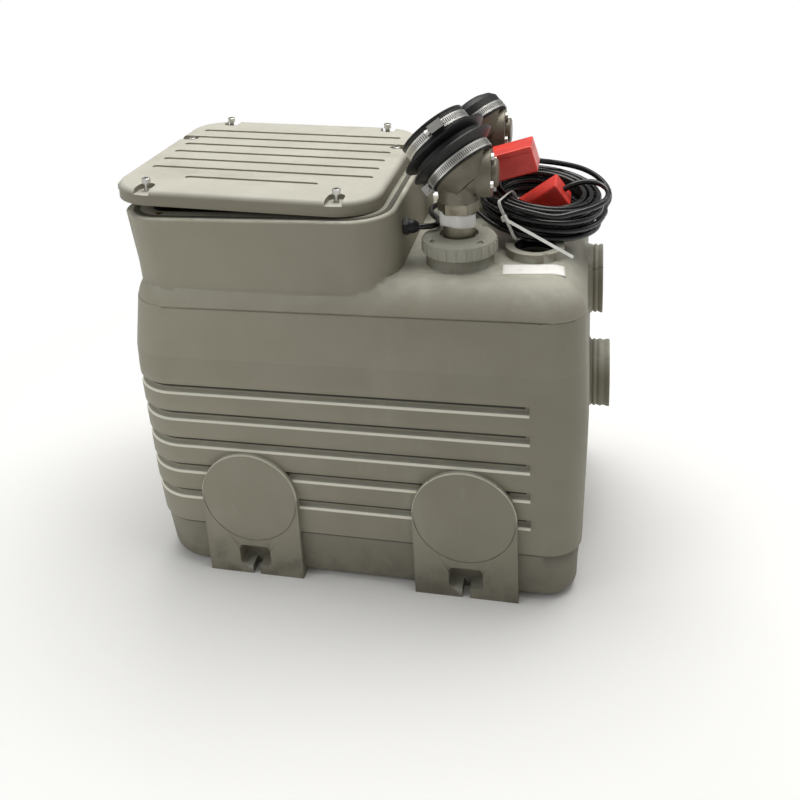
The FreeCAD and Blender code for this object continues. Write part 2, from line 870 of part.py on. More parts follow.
def ball_rest(y):
    """The ball's middle when it rests on the edge of its seat."""
    drop = math.sqrt(ball_radius ** 2 - ball_seat_radius ** 2)
    return V(unit_x, y, seat_z() + drop + rest_gap)


def along_branch(y, side, shape):
    """Moves a shape made along +Z from the lower clamp's middle to a valve's branch."""
    turn = FreeCAD.Rotation(UP, branch_direction(side))
    shape.Placement = FreeCAD.Placement(branch_start(y), turn).multiply(shape.Placement)
    return shape


def make_coupling(y, side):
    """The flexible rubber coupling: two cuffs with a deep channel between two flared lips."""
    bore = branch_radius
    cuff = branch_radius + cuff_wall
    low = cuff_start
    top = low + coupling_length
    profile = [(bore, low), (cuff, low), (cuff, low + 17), (lip_radius - 3, low + 24),
               (lip_radius, low + 26), (lip_radius - 1, low + 28), (cuff + 4, low + 31),
               (cuff + 4, low + 37), (lip_radius, low + 44), (lip_radius + 1, low + 47),
               (cuff + 2, low + 50), (cuff, low + 52), (cuff, top - 3), (cuff + 1, top - 2), (cuff + 1, top),
               (bore + mouth_step, top), (bore + mouth_step, low + 52), (bore + 6, low + 46), (bore + 2, low + 40),
               (bore + 2, low + 32), (bore + 6, low + 26), (bore, low + 19)]
    return along_branch(y, side, turned(profile))


def make_outlet_cap(y, side):
    """The domed rubber cap that closes the rear valve's branch."""
    cuff = branch_radius + cuff_wall
    low = cuff_start
    top = low + cap_length
    profile = [(branch_radius, low), (cuff, low), (cuff, low + 28), (cuff - 6, low + 36),
               (cuff - 18, low + 42), (cuff - 32, top - 1), (0, top), (0, top - 4),
               (cuff - 33, top - 5), (branch_radius - 14, low + 37), (branch_radius - 3, low + 30),
               (branch_radius, low + 26)]
    return along_branch(y, side, turned(profile))


def clamp_places(side):
    """The middles of a side's clamps along its branch."""
    if side == "front":
        return [clamp_middle, coupling_length + cuff_start - 15]
    return [clamp_middle]


def worm_angle(side, index):
    """Where a clamp's screw sits round the cuff, in degrees."""
    return -75.0 if index == 1 else 185.0


def make_clamps(y, side):
    """Band clamps round the cuffs, each with a housing for its worm screw."""
    inner = branch_radius + cuff_wall
    clamps = []
    for index, middle in enumerate(clamp_places(side)):
        band = ring(inner + clamp_thickness, inner, clamp_width, V(0, 0, middle - clamp_width / 2))
        reach = inner + clamp_thickness
        housing = box_between(reach - 0.6, reach + 2 * worm_radius + 2, -worm_length / 2, worm_length / 2,
                              middle - clamp_width / 2, middle + clamp_width / 2)
        bore = rod(worm_radius, worm_length + 2, V(reach + worm_radius + 0.8, -worm_length / 2 - 1, middle), BACK)
        housing = housing.cut(bore)
        housing.rotate(V(0, 0, 0), UP, worm_angle(side, index))
        clamps.append(band.fuse(housing))
    return along_branch(y, side, Part.makeCompound(clamps))


def make_clamp_screws():
    """The worm screws of all band clamps, with hexagon heads."""
    screws = []
    for side, y in unit_places():
        reach = branch_radius + cuff_wall + clamp_thickness
        for index, middle in enumerate(clamp_places(side)):
            axis_x = reach + worm_radius + 0.8
            screw = rod(worm_radius - 0.3, worm_length + 4, V(axis_x, -worm_length / 2 - 2, middle), BACK)
            screw = screw.fuse(hexagon(8.0, 5.0, V(axis_x, -worm_length / 2 - 7, middle), BACK))
            screw.rotate(V(0, 0, 0), UP, worm_angle(side, index))
            screws.append(along_branch(y, side, screw))
    return Part.makeCompound(screws)


def make_vent_seal():
    """The lip seal in the vent's socket."""
    top = shoulder_height + vent_height
    seal = turned([(vent_seal_bore, top - 4), (vent_bore, top - 1), (vent_bore, top - 14),
                   (vent_bore - 3, top - 14), (vent_bore - 3, top - 7), (vent_seal_bore, top - 6)])
    seal.translate(V(vent_x, vent_y, 0))
    return seal


def make_glands():
    """Two cable glands with their lock nuts inside the box wall."""
    glands = []
    for y in gland_places():
        x = box_wall_x(gland_z - gland_hex_across)
        inner_x = box_wall_x(gland_z + gland_hex_across) - wall
        body = hexagon(gland_hex_across, 7, V(x, y, gland_z), RIGHT)
        dome = turned([(0, 7), (gland_hex_across / 2 - 1, 7), (gland_hex_across / 2 - 1.5, 15),
                       (gland_hex_across / 2 - 5, gland_reach), (0, gland_reach)])
        dome.Placement = FreeCAD.Placement(V(x, y, gland_z), FreeCAD.Rotation(UP, RIGHT))
        thread = rod(gland_thread_radius, wall + 10, V(x - wall - 10, y, gland_z), RIGHT)
        lock = hexagon(gland_hex_across, 5, V(inner_x - 5.1, y, gland_z), RIGHT)
        whole = body.fuse(dome).fuse(thread).fuse(lock)
        bore = rod(cable_radius, 80, V(x - 40, y, gland_z), RIGHT)
        glands.append(whole.cut(bore))
    return Part.makeCompound(glands)


def make_riser(y):
    """The riser pipe between the elbow and the outlet's tail."""
    low = outlet_z + elbow_bend
    return ring(pipe_radius, pipe_bore, pipe_top_z() - low, V(unit_x, y, low))


def make_elbow(y):
    """The elbow that turns the pump's delivery upwards, with a socket at each end."""
    centre = V(unit_x, y, outlet_z)
    start = centre.sub(V(elbow_bend, 0, 0))
    end = centre.add(V(0, 0, elbow_bend))
    middle = V(unit_x - elbow_bend * (1 - math.sqrt(0.5)), y, outlet_z + elbow_bend * (1 - math.sqrt(0.5)))
    arc = Part.Wire([Part.Arc(start, middle, end).toShape()])
    body = swept_tube(arc, pipe_radius + 3, start, RIGHT)
    bore = swept_tube(arc, pipe_bore, start, RIGHT)
    low = start.sub(V(socket_depth, 0, 0))
    body = body.fuse(rod(pipe_radius + 5, socket_depth, low, RIGHT)).fuse(rod(pipe_radius + 5, socket_depth, end))
    bore = bore.fuse(rod(pipe_radius, socket_depth, low, RIGHT)).fuse(rod(pipe_radius, socket_depth, end))
    return body.cut(bore)


def swept_tube(path, radius, start, direction):
    """A round rod that follows a path."""
    profile = Part.Wire([Part.Circle(start, direction, radius).toShape()])
    return path.makePipeShell([profile], True, False)


def make_pump_volute(y):
    """The cast pump casing: a spiral belly with a level outlet and a suction hole below."""
    low = foot_height
    profile = [(suction_radius, low), (volute_radius - 10, low), (volute_radius, low + 12),
               (volute_radius, low + volute_height - 14), (volute_radius - 12, low + volute_height),
               (motor_radius - 6, motor_foot_z), (shaft_radius + 4, motor_foot_z),
               (shaft_radius + 4, low + volute_height - volute_wall),
               (volute_radius - volute_wall - 10, low + volute_height - volute_wall),
               (volute_radius - volute_wall, low + volute_height - 16),
               (volute_radius - volute_wall, low + 14), (volute_radius - volute_wall - 8, low + volute_wall),
               (suction_radius, low + volute_wall)]
    casing = turned(profile)
    reach = unit_x - pump_x - elbow_bend
    tube = rod(pipe_radius + 7, reach - socket_depth - 1, V(0, 0, outlet_z), RIGHT)
    spigot = rod(pipe_radius, reach, V(0, 0, outlet_z), RIGHT)
    tube = tube.fuse(spigot).cut(rod(volute_radius - 3, 200, V(0, 0, 0)))
    casing = casing.fuse(tube)
    casing = casing.cut(rod(pipe_bore, reach - volute_radius + 12, V(volute_radius - 12, 0, outlet_z), RIGHT))
    casing.translate(V(pump_x, y, 0))
    return casing


def make_pump_foot(y):
    """The suction stand: a floor plate, four posts and a ring under the casing."""
    plate = ring(foot_radius_outer, suction_radius, foot_plate, V(0, 0, wall + rest_gap))
    top = ring(volute_radius - 12, suction_radius + 6, foot_plate, V(0, 0, foot_height - foot_plate))
    stand = plate.fuse(top)
    for i in range(foot_posts):
        angle = math.radians(45 + 360.0 * i / foot_posts)
        reach = volute_radius - 24
        base = V(reach * math.cos(angle), reach * math.sin(angle), wall + rest_gap)
        stand = stand.fuse(rod(foot_post_radius, foot_height - wall - rest_gap, base))
    stand.translate(V(pump_x, y, 0))
    return stand


def make_impeller(y):
    """A vortex impeller: a back plate with curved vanes, keyed on the shaft."""
    top = foot_height + volute_height - volute_wall - impeller_gap
    plate = rod(impeller_radius, 5, V(0, 0, top - 5))
    hub = rod(shaft_radius + 7, impeller_height, V(0, 0, top - impeller_height))
    vanes = []
    arc_radius = impeller_radius * 0.7
    inner = V(shaft_radius + 5, 0, top - impeller_height)
    for i in range(impeller_vanes):
        centre = V(arc_radius + shaft_radius, 0, top - impeller_height)
        vane = ring(arc_radius + 1.6, arc_radius - 1.6, impeller_height - 4, centre)
        keep = box_between(0, impeller_radius * 2, -impeller_radius, 0, inner.z - 1, top)
        vane = vane.common(keep).common(rod(impeller_radius - 1, impeller_height, V(0, 0, inner.z)))
        vane.rotate(V(0, 0, 0), UP, 360.0 * i / impeller_vanes)
        vanes.append(vane)
    wheel = plate.multiFuse([hub] + vanes)
    wheel = wheel.cut(rod(shaft_radius, 200, V(0, 0, 0)))
    wheel.translate(V(pump_x, y, 0))
    return wheel


def make_pump_shaft(y):
    """The rotor shaft, from the impeller up into the motor."""
    low = foot_height + volute_height - volute_wall - impeller_gap - impeller_height
    return rod(shaft_radius, shaft_length, V(pump_x, y, low))


def make_motor(y):
    """The closed motor can, bored below for the shaft."""
    low = motor_foot_z
    shaft_top = foot_height + volute_height - volute_wall - impeller_gap - impeller_height + shaft_length
    profile = [(shaft_radius + bearing_clearance, low), (motor_radius + 6, low), (motor_radius + 6, low + 8),
               (motor_radius, low + 10), (motor_radius, low + motor_length - 10),
               (motor_radius + 3, low + motor_length - 8), (motor_radius + 3, low + motor_length),
               (0, low + motor_length), (0, shaft_top + 2), (shaft_radius + bearing_clearance, shaft_top + 2)]
    can = turned(profile)
    can.translate(V(pump_x, y, 0))
    return can


def pump_top_z():
    """The height of the pump's top face."""
    return motor_foot_z + motor_length + top_height


def handle_foot_z():
    """The height where the handle's feet end in the top cover."""
    return pump_top_z() - 8


def pump_gland_x():
    """The X place of the gland on the pump's top."""
    return pump_x + 36.0


def make_pump_top(y):
    """The domed top cover with the pump's own cable gland."""
    low = motor_foot_z + motor_length
    profile = [(0, low), (motor_radius + 3, low), (motor_radius + 3, low + 8), (motor_radius - 6, low + 22),
               (motor_radius - 20, low + top_height), (0, low + top_height)]
    cover = turned(profile)
    cover.translate(V(pump_x, y, 0))
    for sy in (-1, 1):
        cover = cover.cut(rod(handle_bar_radius, 20, V(pump_x - 12, y + sy * handle_span / 2, handle_foot_z())))
    x = pump_gland_x()
    cover = cover.fuse(hexagon(22, 14, V(x, y, low + top_height - 6)))
    return cover.cut(rod(cable_radius, 20, V(x, y, low + top_height - 4)))


def make_pump_handle(y):
    """A bent bar across the top cover for lifting the pump out."""
    half = handle_span / 2
    foot = handle_foot_z()
    top = pump_top_z() + handle_rise
    bend = 14.0
    knee = bend * (1 - math.sqrt(0.5))
    p = [V(pump_x - 12, y - half, foot), V(pump_x - 12, y - half, top - bend),
         V(pump_x - 12, y - half + bend, top), V(pump_x - 12, y + half - bend, top),
         V(pump_x - 12, y + half, top - bend), V(pump_x - 12, y + half, foot)]
    edges = [Part.LineSegment(p[0], p[1]).toShape(),
             Part.Arc(p[1], V(p[1].x, y - half + knee, top - knee), p[2]).toShape(),
             Part.LineSegment(p[2], p[3]).toShape(),
             Part.Arc(p[3], V(p[1].x, y + half - knee, top - knee), p[4]).toShape(),
             Part.LineSegment(p[4], p[5]).toShape()]
    bar = swept_tube(Part.Wire(edges), handle_bar_radius, p[0], UP)
    return bar


def make_float_bracket(y):
    """An arm clamped to the motor's rim, with a pin for the float's cable."""
    z = float_pivot_z
    inner = float_eye_width / 2 + rest_gap
    outer = inner + bracket_cheek
    reach = float_pivot_x - float_eye_radius
    rim = pump_x - motor_radius - 1.5
    arm = box_between(reach + float_eye_radius, rim + 2, -outer, outer, z - float_eye_radius, z + float_eye_radius)
    arm = arm.fuse(rod(float_eye_radius, 2 * outer, V(float_pivot_x, -outer, z), BACK))
    gap = box_between(reach - 1, float_pivot_x + float_eye_radius + 4, -inner, inner, z - 20, z + 20)
    arm = arm.cut(gap)
    arm = arm.fuse(rod(float_pin_radius, 2 * outer, V(float_pivot_x, -outer, z), BACK))
    arm.translate(V(0, y, 0))
    return arm.cut(rod(motor_radius + rest_gap, motor_length, V(pump_x, y, motor_foot_z)))


def make_float_switch(y):
    """A float hanging on its stiff cable from an eye on the bracket's pin."""
    pivot = V(float_pivot_x, y, float_pivot_z)
    half = float_eye_width / 2
    eye = rod(float_eye_radius - 1, float_eye_width, pivot.sub(V(0, half, 0)), BACK)
    cable = rod(float_cable_radius, float_arm, pivot.sub(V(0, 0, float_arm)))
    top = -float_arm + 6
    low = top - float_length
    bulb = turned([(0, top + 8), (float_cable_radius + 3, top + 8), (float_cable_radius + 4, top),
                   (float_radius - 8, top - 3), (float_radius - 2, top - 12), (float_radius, top - 24),
                   (float_radius, low + 14), (float_radius - 4, low + 5), (float_radius - 10, low), (0, low)])
    bulb.translate(pivot)
    bore = rod(float_pin_radius + bearing_clearance, float_eye_width, pivot.sub(V(0, half, 0)), BACK)
    return eye.fuse(cable).fuse(bulb).cut(bore)


def unit_vector(v):
    """A vector of length one."""
    return V(v).multiply(1.0 / v.Length)


def cord_tube(name, points):
    """A cable along straight runs joined by tangent arcs, each as large as its runs allow."""
    edges = []
    radii = []
    here = points[0]
    for before, corner, after in zip(points, points[1:], points[2:]):
        first = unit_vector(corner.sub(before))
        last = unit_vector(after.sub(corner))
        turn = first.getAngle(last)
        reach = 0.45 * min(corner.sub(before).Length, after.sub(corner).Length)
        radius = reach / math.tan(turn / 2)
        radii.append(radius)
        start = corner.sub(V(first).multiply(reach))
        end = corner.add(V(last).multiply(reach))
        inward = unit_vector(last.sub(first))
        sagitta = radius / math.cos(turn / 2) - radius
        edges.append(Part.LineSegment(here, start).toShape())
        edges.append(Part.Arc(start, corner.add(V(inward).multiply(sagitta)), end).toShape())
        here = end
    edges.append(Part.LineSegment(here, points[-1]).toShape())
    path = Part.Wire(edges)
    tube = swept_tube(path, cable_radius, points[0], points[1].sub(points[0]))
    share = tube.Volume / (math.pi * cable_radius ** 2 * path.Length)
    print("%s: length %.0f, volume ratio %.4f, radii %s" % (name, path.Length, share,
                                                           " ".join("%.0f" % r for r in radii)))
    return tube


def coil_frame():
    """Where the coils lie: on the vent's rim and the rear nut, leaning to the right."""
    lean = FreeCAD.Rotation(BACK, coil_tilt_right).multiply(FreeCAD.Rotation(RIGHT, coil_tilt_back))
    return FreeCAD.Placement(V(coil_x, coil_y, coil_foot_z + cable_radius), lean)


def coil_plan(side):
    """A coil's start angle, its turns spiralling out again and its lowest layer's height."""
    if side == "front":
        return math.radians(205), 2.9306, 0.0
    return math.radians(180), 2.75, coil_layer + coil_stack


def coil_turns(side):
    """All turns of a coil: in, half a turn climbing, and out again."""
    return coil_turns_in + 0.5 + coil_plan(side)[1]


def coil_point(side, turns):
    """A point on a coil's centre line after so many turns."""
    start, _, base = coil_plan(side)
    inset = coil_step * min(turns, coil_turns_in)
    climb = min(max((turns - coil_turns_in) / 0.5, 0.0), 1.0)
    if turns > coil_turns_in + 0.5:
        inset = coil_step * (2 * coil_turns_in + 0.5 - turns)
    rise = coil_layer * (1 - math.cos(math.pi * climb)) / 2
    angle = start + 2 * math.pi * turns
    radius = coil_radius - inset
    local = V(radius * math.cos(angle), radius * math.sin(angle), base + rise)
    return coil_frame().multVec(local)


def coil_heading(side, turns):
    """The direction of a coil's centre line after so many turns."""
    step = 0.001
    return unit_vector(coil_point(side, turns + step).sub(coil_point(side, turns - step)))


def coil_mouths(side):
    """A coil's two ends, each straight on from its turns, with the way the cable runs there."""
    total = coil_turns(side)
    first, last = coil_heading(side, 0.0), coil_heading(side, total)
    return ((coil_point(side, 0.0).sub(V(first).multiply(coil_straight)), first),
            (coil_point(side, total).add(V(last).multiply(coil_straight)), last))


def arc_from(start, heading, end):
    """The arc that leaves a point along a heading and reaches another point."""
    chord = end.sub(start)
    across = chord.sub(V(heading).multiply(chord.dot(heading)))
    turn = 2 * heading.getAngle(chord)
    radius = chord.Length / (2 * math.sin(turn / 2))
    outward = unit_vector(across)
    middle = start.add(V(heading).multiply(radius * math.sin(turn / 2)))
    middle = middle.add(outward.multiply(radius * (1 - math.cos(turn / 2))))
    return Part.Arc(start, middle, end).toShape()


def biarc(p0, t0, p1, t1):
    """Two arcs that join two points and meet both headings."""
    chord = p1.sub(p0)
    both = t0.add(t1)
    spread = 2 * (1 - t0.dot(t1))
    along = chord.dot(both)
    reach = (math.sqrt(along ** 2 + spread * chord.dot(chord)) - along) / spread
    joint = p0.add(p1).add(t0.sub(t1).multiply(reach)).multiply(0.5)
    back = arc_from(p1, V(t1).multiply(-1), joint)
    return [arc_from(p0, t0, joint), back]


def make_coil(side):
    """One pump's lead, wound in two piled layers as a single unbroken tube."""
    total = coil_turns(side)
    stops = [0.5 * i for i in range(int(total / 0.5) + 1)]
    if total - stops[-1] > 0.01:
        stops.append(total)
    mouths = coil_mouths(side)
    edges = [Part.LineSegment(mouths[0][0], coil_point(side, 0.0)).toShape(),
             Part.LineSegment(coil_point(side, total), mouths[1][0]).toShape()]
    for low, high in zip(stops, stops[1:]):
        edges += biarc(coil_point(side, low), coil_heading(side, low),
                       coil_point(side, high), coil_heading(side, high))
    path = Part.Wire(Part.__sortEdges__(edges))
    tube = swept_tube(path, cable_radius, *mouths[0])
    print("%s coil: length %.0f, least gap %.2f, volume ratio %.4f" % (
        side, path.Length, least_gap(side), tube.Volume / (math.pi * cable_radius ** 2 * path.Length)))
    return tube


def least_gap(side):
    """The smallest clear distance between two turns of a coil."""
    steps = 60
    count = int(coil_turns(side) * steps)
    points = [coil_point(side, i / steps) for i in range(count + 1)]
    near = steps // 4
    least = min(points[i].sub(points[j]).Length for i in range(count) for j in range(i + near, count))
    return least - 2 * cable_radius


def on_coil(points):
    """Points given in the coils' own frame, moved to where the coils lie."""
    frame = coil_frame()
    return [frame.multVec(V(*p)) for p in points]


front_lead_route = [(127, -113, 570.5), (131.5, -100, 571), (126, -84, 571), (117, -67, 570.5),
                    (110, -49, 569.5), (108, -29.5, 568.5), (112, -11, 567.5), (123.5, 3, 566.5),
                    (141, 9, 565.5), (160, 5.5, 564.8)]
rear_lead_route = [(134, 79.5, 574.5), (149.5, 72.5, 580.5), (163, 63, 586.5), (173.5, 51, 591)]
front_end_route = [(105.8, 46, 18.1), (103.2, 66.4, 27.4), (87.5, 82.7, 38.3), (62.6, 91.3, 46.7),
                   (34.8, 88.1, 51.8), (7.1, 83.4, 54.2), (-16.6, 69.6, 58.4), (-37.9, 56.7, 66.2)]
rear_end_route = [(50, -87.3, 45.9), (75.8, -70.6, 50.6), (96, -46, 56), (99, -15, 61.5), (77.2, 5.4, 63.9)]


def make_lead(side, y):
    """The lead's free stretch from its gland to its coil."""
    exit_x = box_wall_x(gland_z - gland_hex_across) + gland_reach
    end, heading = coil_mouths(side)[0]
    first, last, route = ((front_lead_exit, front_coil_approach, front_lead_route) if side == "front"
                          else (rear_lead_exit, rear_coil_approach, rear_lead_route))
    points = [V(exit_x, y, gland_z), V(exit_x + first, y, gland_z)] + [V(*p) for p in route]
    points += [end.sub(V(heading).multiply(last)), end]
    return cord_tube(side + " lead", points)


def control_frame(side):
    """Where a control box lies."""
    middle, roll = ((front_control_middle, front_control_roll) if side == "front"
                    else (rear_control_middle, rear_control_roll))
    return FreeCAD.Placement(V(*middle), FreeCAD.Rotation(BACK, -roll))


def control_entry(side):
    """Where the lead enters its control box, and the way it runs there."""
    frame = control_frame(side)
    if side == "front":
        return frame.multVec(V(10, control_width / 2, -8)), V(0, -1, 0)
    entry = frame.multVec(V(control_length / 2, 0, 0))
    return entry, frame.Rotation.multVec(V(-1, 0, 0))


def make_lead_end(side):
    """The lead's free stretch from its coil to its control box."""
    start, heading = coil_mouths(side)[1]
    route = front_end_route if side == "front" else rear_end_route
    entry, way = control_entry(side)
    points = [start, start.add(V(heading).multiply(coil_leave))] + on_coil(route)
    points += [entry.sub(V(way).multiply(control_approach)), entry]
    return cord_tube(side + " lead end", points)


def make_control_box(side):
    """A closed box with rounded edges and a lid line, at the end of a pump's lead."""
    half = control_depth / 2
    body = Part.makeBox(control_length, control_width, control_depth,
                        V(-control_length / 2, -control_width / 2, -half))
    body = body.makeFillet(control_edge, body.Edges)
    seam = Part.makeBox(control_length + 2, control_width + 2, 1.0,
                        V(-control_length / 2 - 1, -control_width / 2 - 1, half - 9))
    core = Part.makeBox(control_length - 1.6, control_width - 1.6, 1.0,
                        V(-control_length / 2 + 0.8, -control_width / 2 + 0.8, half - 9))
    body = body.cut(seam.cut(core))
    body.Placement = control_frame(side)
    return body


def make_coil_tie():
    """The nylon tie drawn round both coils: its loop, its square head and its long tail."""
    turn = math.radians(tie_angle)
    spin = math.radians(tie_lean)
    out = V(math.cos(turn), math.sin(turn), 0)
    round_coil = V(-math.sin(turn), math.cos(turn), 0)
    up = V(UP).multiply(math.cos(spin)).sub(round_coil.multiply(math.sin(spin)))
    across = out.cross(up)
    outer = rounded_slab(tie_inner, tie_outer, tie_low, tie_high, tie_corner, -tie_width / 2, tie_width / 2)
    inner = rounded_slab(tie_inner + tie_thickness, tie_outer - tie_thickness, tie_low + tie_thickness,
                         tie_high - tie_thickness, tie_corner - tie_thickness, -tie_width, tie_width)
    head = Part.makeBox(tie_head_depth, tie_head_height, tie_head_width,
                        V(tie_outer - tie_thickness, tie_head_rise, -tie_head_width / 2))
    head = head.makeFillet(1.0, head.Edges)
    loop = outer.fuse(head).cut(inner)
    matrix = FreeCAD.Matrix(out.x, up.x, across.x, 0, out.y, up.y, across.y, 0, out.z, up.z, across.z, 0)
    frame = coil_frame().multiply(FreeCAD.Placement(matrix))
    loop.Placement = frame
    root = frame.multVec(V(tie_outer + tie_head_depth / 2, tie_head_rise + tie_head_height / 2, 0))
    tail_way = V(*tie_tail_end).sub(root)
    tail = Part.makeBox(tie_thickness, tie_width, tail_way.Length, V(-tie_thickness / 2, -tie_width / 2, 0))
    tail.Placement = FreeCAD.Placement(root, FreeCAD.Rotation(V(0, -1, 0.6), V(0, 0, 1), tail_way, "ZXY"))
    return loop.fuse(tail)


def make_inner_lead(y, gland_y):
    """The lead inside the tank, from the pump's top up to its gland."""
    low = V(pump_gland_x(), y, pump_top_z() + 8)
    end = V(box_wall_x(gland_z) - wall - 10, gland_y, gland_z)
    points = [low, low.add(V(0, 0, inner_lead_rise)), V(44, y + 4, 438), V(30, y + 8, 474), V(17, y + 6, 512),
              V(18, (y + gland_y) / 2, 547), end.sub(V(26, 0, 3)), end]
    return cord_tube("inner lead", points)


def export(name, shape):
    """Writes one sub-part."""
    shape.exportStep("parts/%s.step" % name)
    print("%-24s solids %d valid %s volume %.0f" % (name, len(shape.Solids), shape.isValid(), shape.Volume))


def main():
    """Builds every sub-part."""
    os.makedirs("parts", exist_ok=True)
    export("tank_shell", make_tank_shell())
    export("lid_gasket", make_lid_gasket())
    export("rim_inserts", make_rim_inserts())
    export("lid", make_lid())
    export("lid_screws", make_lid_screws())
    export("vent_seal", make_vent_seal())
    export("outlet_seals", make_outlet_seals())
    export("cover_bolts", make_cover_bolts())
    export("clamp_screws", make_clamp_screws())
    export("cable_glands", make_glands())
    for side, y in unit_places():
        export(side + "_outlet_nut", make_outlet_nut(y))
        export(side + "_outlet_tail", make_outlet_tail(y))
        export(side + "_nipple", make_nipple(y))
        export(side + "_valve_body", make_valve_body(y, side))
        export(side + "_valve_cover", make_valve_cover(y, side))
        export(side + "_valve_ball", make_valve_ball(y))
        export(side + "_clamps", make_clamps(y, side))
        export(side + "_riser_pipe", make_riser(y))
        export(side + "_elbow", make_elbow(y))
        export(side + "_pump_volute", make_pump_volute(y))
        export(side + "_pump_foot", make_pump_foot(y))
        export(side + "_pump_impeller", make_impeller(y))
        export(side + "_pump_shaft", make_pump_shaft(y))
        export(side + "_pump_motor", make_motor(y))
        export(side + "_pump_top", make_pump_top(y))
        export(side + "_pump_handle", make_pump_handle(y))
    for (side, y), gland_y in zip(unit_places(), gland_places()):
        export(side + "_float_bracket", make_float_bracket(y))
        export(side + "_float_switch", make_float_switch(y))
        export(side + "_inner_lead", make_inner_lead(y, gland_y))
        export(side + "_lead", make_lead(side, gland_y))
        export(side + "_lead_coil", make_coil(side))
        export(side + "_lead_end", make_lead_end(side))
        export(side + "_control_box", make_control_box(side))
    export("coil_tie", make_coil_tie())
    export("front_coupling", make_coupling(-unit_y, "front"))
    export("rear_outlet_cap", make_outlet_cap(unit_y, "rear"))


if __name__ == "__main__":
    main()
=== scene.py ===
"""Sewage lifting station: a ribbed plastic tank with a raised access box, two outlet valves and coiled leads.

Everything is in metres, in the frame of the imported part: X along the tank, -Y to the viewer, Z up.
"""
import math
import bmesh
import bpy
from mathutils import Matrix, Vector
from mathutils.bvhtree import BVHTree


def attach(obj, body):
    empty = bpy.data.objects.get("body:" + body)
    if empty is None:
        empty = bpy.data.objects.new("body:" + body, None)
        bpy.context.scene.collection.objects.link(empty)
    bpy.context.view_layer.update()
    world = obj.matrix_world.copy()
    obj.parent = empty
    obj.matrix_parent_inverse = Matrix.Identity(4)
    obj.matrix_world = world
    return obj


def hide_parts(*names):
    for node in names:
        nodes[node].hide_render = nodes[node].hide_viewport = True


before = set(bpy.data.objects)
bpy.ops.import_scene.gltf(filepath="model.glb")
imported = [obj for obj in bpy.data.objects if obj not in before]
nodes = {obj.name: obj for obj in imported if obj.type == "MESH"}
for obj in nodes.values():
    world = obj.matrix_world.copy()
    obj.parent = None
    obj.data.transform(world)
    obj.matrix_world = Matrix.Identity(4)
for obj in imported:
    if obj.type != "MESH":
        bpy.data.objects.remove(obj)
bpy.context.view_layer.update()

# Camera. It stands a metre and a half in front of the tank, a little to its right, and looks down on it,
# as the photograph was taken. The shift gives the photograph's framing.
view_data = bpy.data.cameras.new("camera")
view_data.sensor_width = 36.0
view_data.lens = 43.48
view_data.shift_x = 0.0771
view_data.shift_y = -0.2545
camera = bpy.data.objects.new("camera", view_data)
bpy.context.collection.objects.link(camera)
bpy.context.scene.camera = camera
to_right = Vector((0.967544, 0.242999, -0.069351))
downward = Vector((0.011517, -0.316556, -0.948504))
forward = Vector((-0.252439, 0.916921, -0.309080))
camera.matrix_world = Matrix((to_right, -downward, -forward)).transposed().to_4x4()
camera.matrix_world.translation = (0.35301, -1.47207, 1.07299)


# Pump leads. Each pump has one black rubber-sheathed lead, which leaves its gland in the wall of the
# access box, winds in two piled layers on the tank's right end and goes on to its own control box.
def colour(red, green, blue):
    """A paint colour given as it looks on a screen, 0 to 255."""
    def linear(part):
        part = part / 255
        return part / 12.92 if part <= 0.04045 else ((part + 0.055) / 1.055) ** 2.4
    return (linear(red), linear(green), linear(blue), 1.0)


def plug(socket, value):
    """Gives a socket a link or a plain value."""
    if isinstance(value, Value):
        socket.id_data.links.new(value.socket, socket)
    else:
        socket.default_value = value


class Value:
    """A number in a material: sums on it add Math nodes."""

    def __init__(self, socket):
        self.socket = socket

    def math(self, operation, first, *others):
        """One Math node on these values."""
        node = self.socket.id_data.nodes.new("ShaderNodeMath")
        node.operation = operation
        for socket, value in zip(node.inputs, (first,) + others):
            plug(socket, value)
        return Value(node.outputs[0])

    def __add__(self, other):
        return self.math("ADD", self, other)

    def __sub__(self, other):
        return self.math("SUBTRACT", self, other)

    def __mul__(self, other):
        return self.math("MULTIPLY", self, other)

    def __rsub__(self, other):
        return self.math("SUBTRACT", other, self)

    __radd__ = __add__

    def wave(self, period):
        """0 to 1 and back over each period."""
        return self.math("PINGPONG", self, period / 2) * (2 / period)

    def between(self, low, high):
        """0 below low, 1 above high, and smooth between them."""
        node = self.socket.id_data.nodes.new("ShaderNodeMapRange")
        node.interpolation_type = "SMOOTHSTEP"
        for name, value in (("Value", self), ("From Min", low), ("From Max", high)):
            plug(node.inputs[name], value)
        return Value(node.outputs[0])


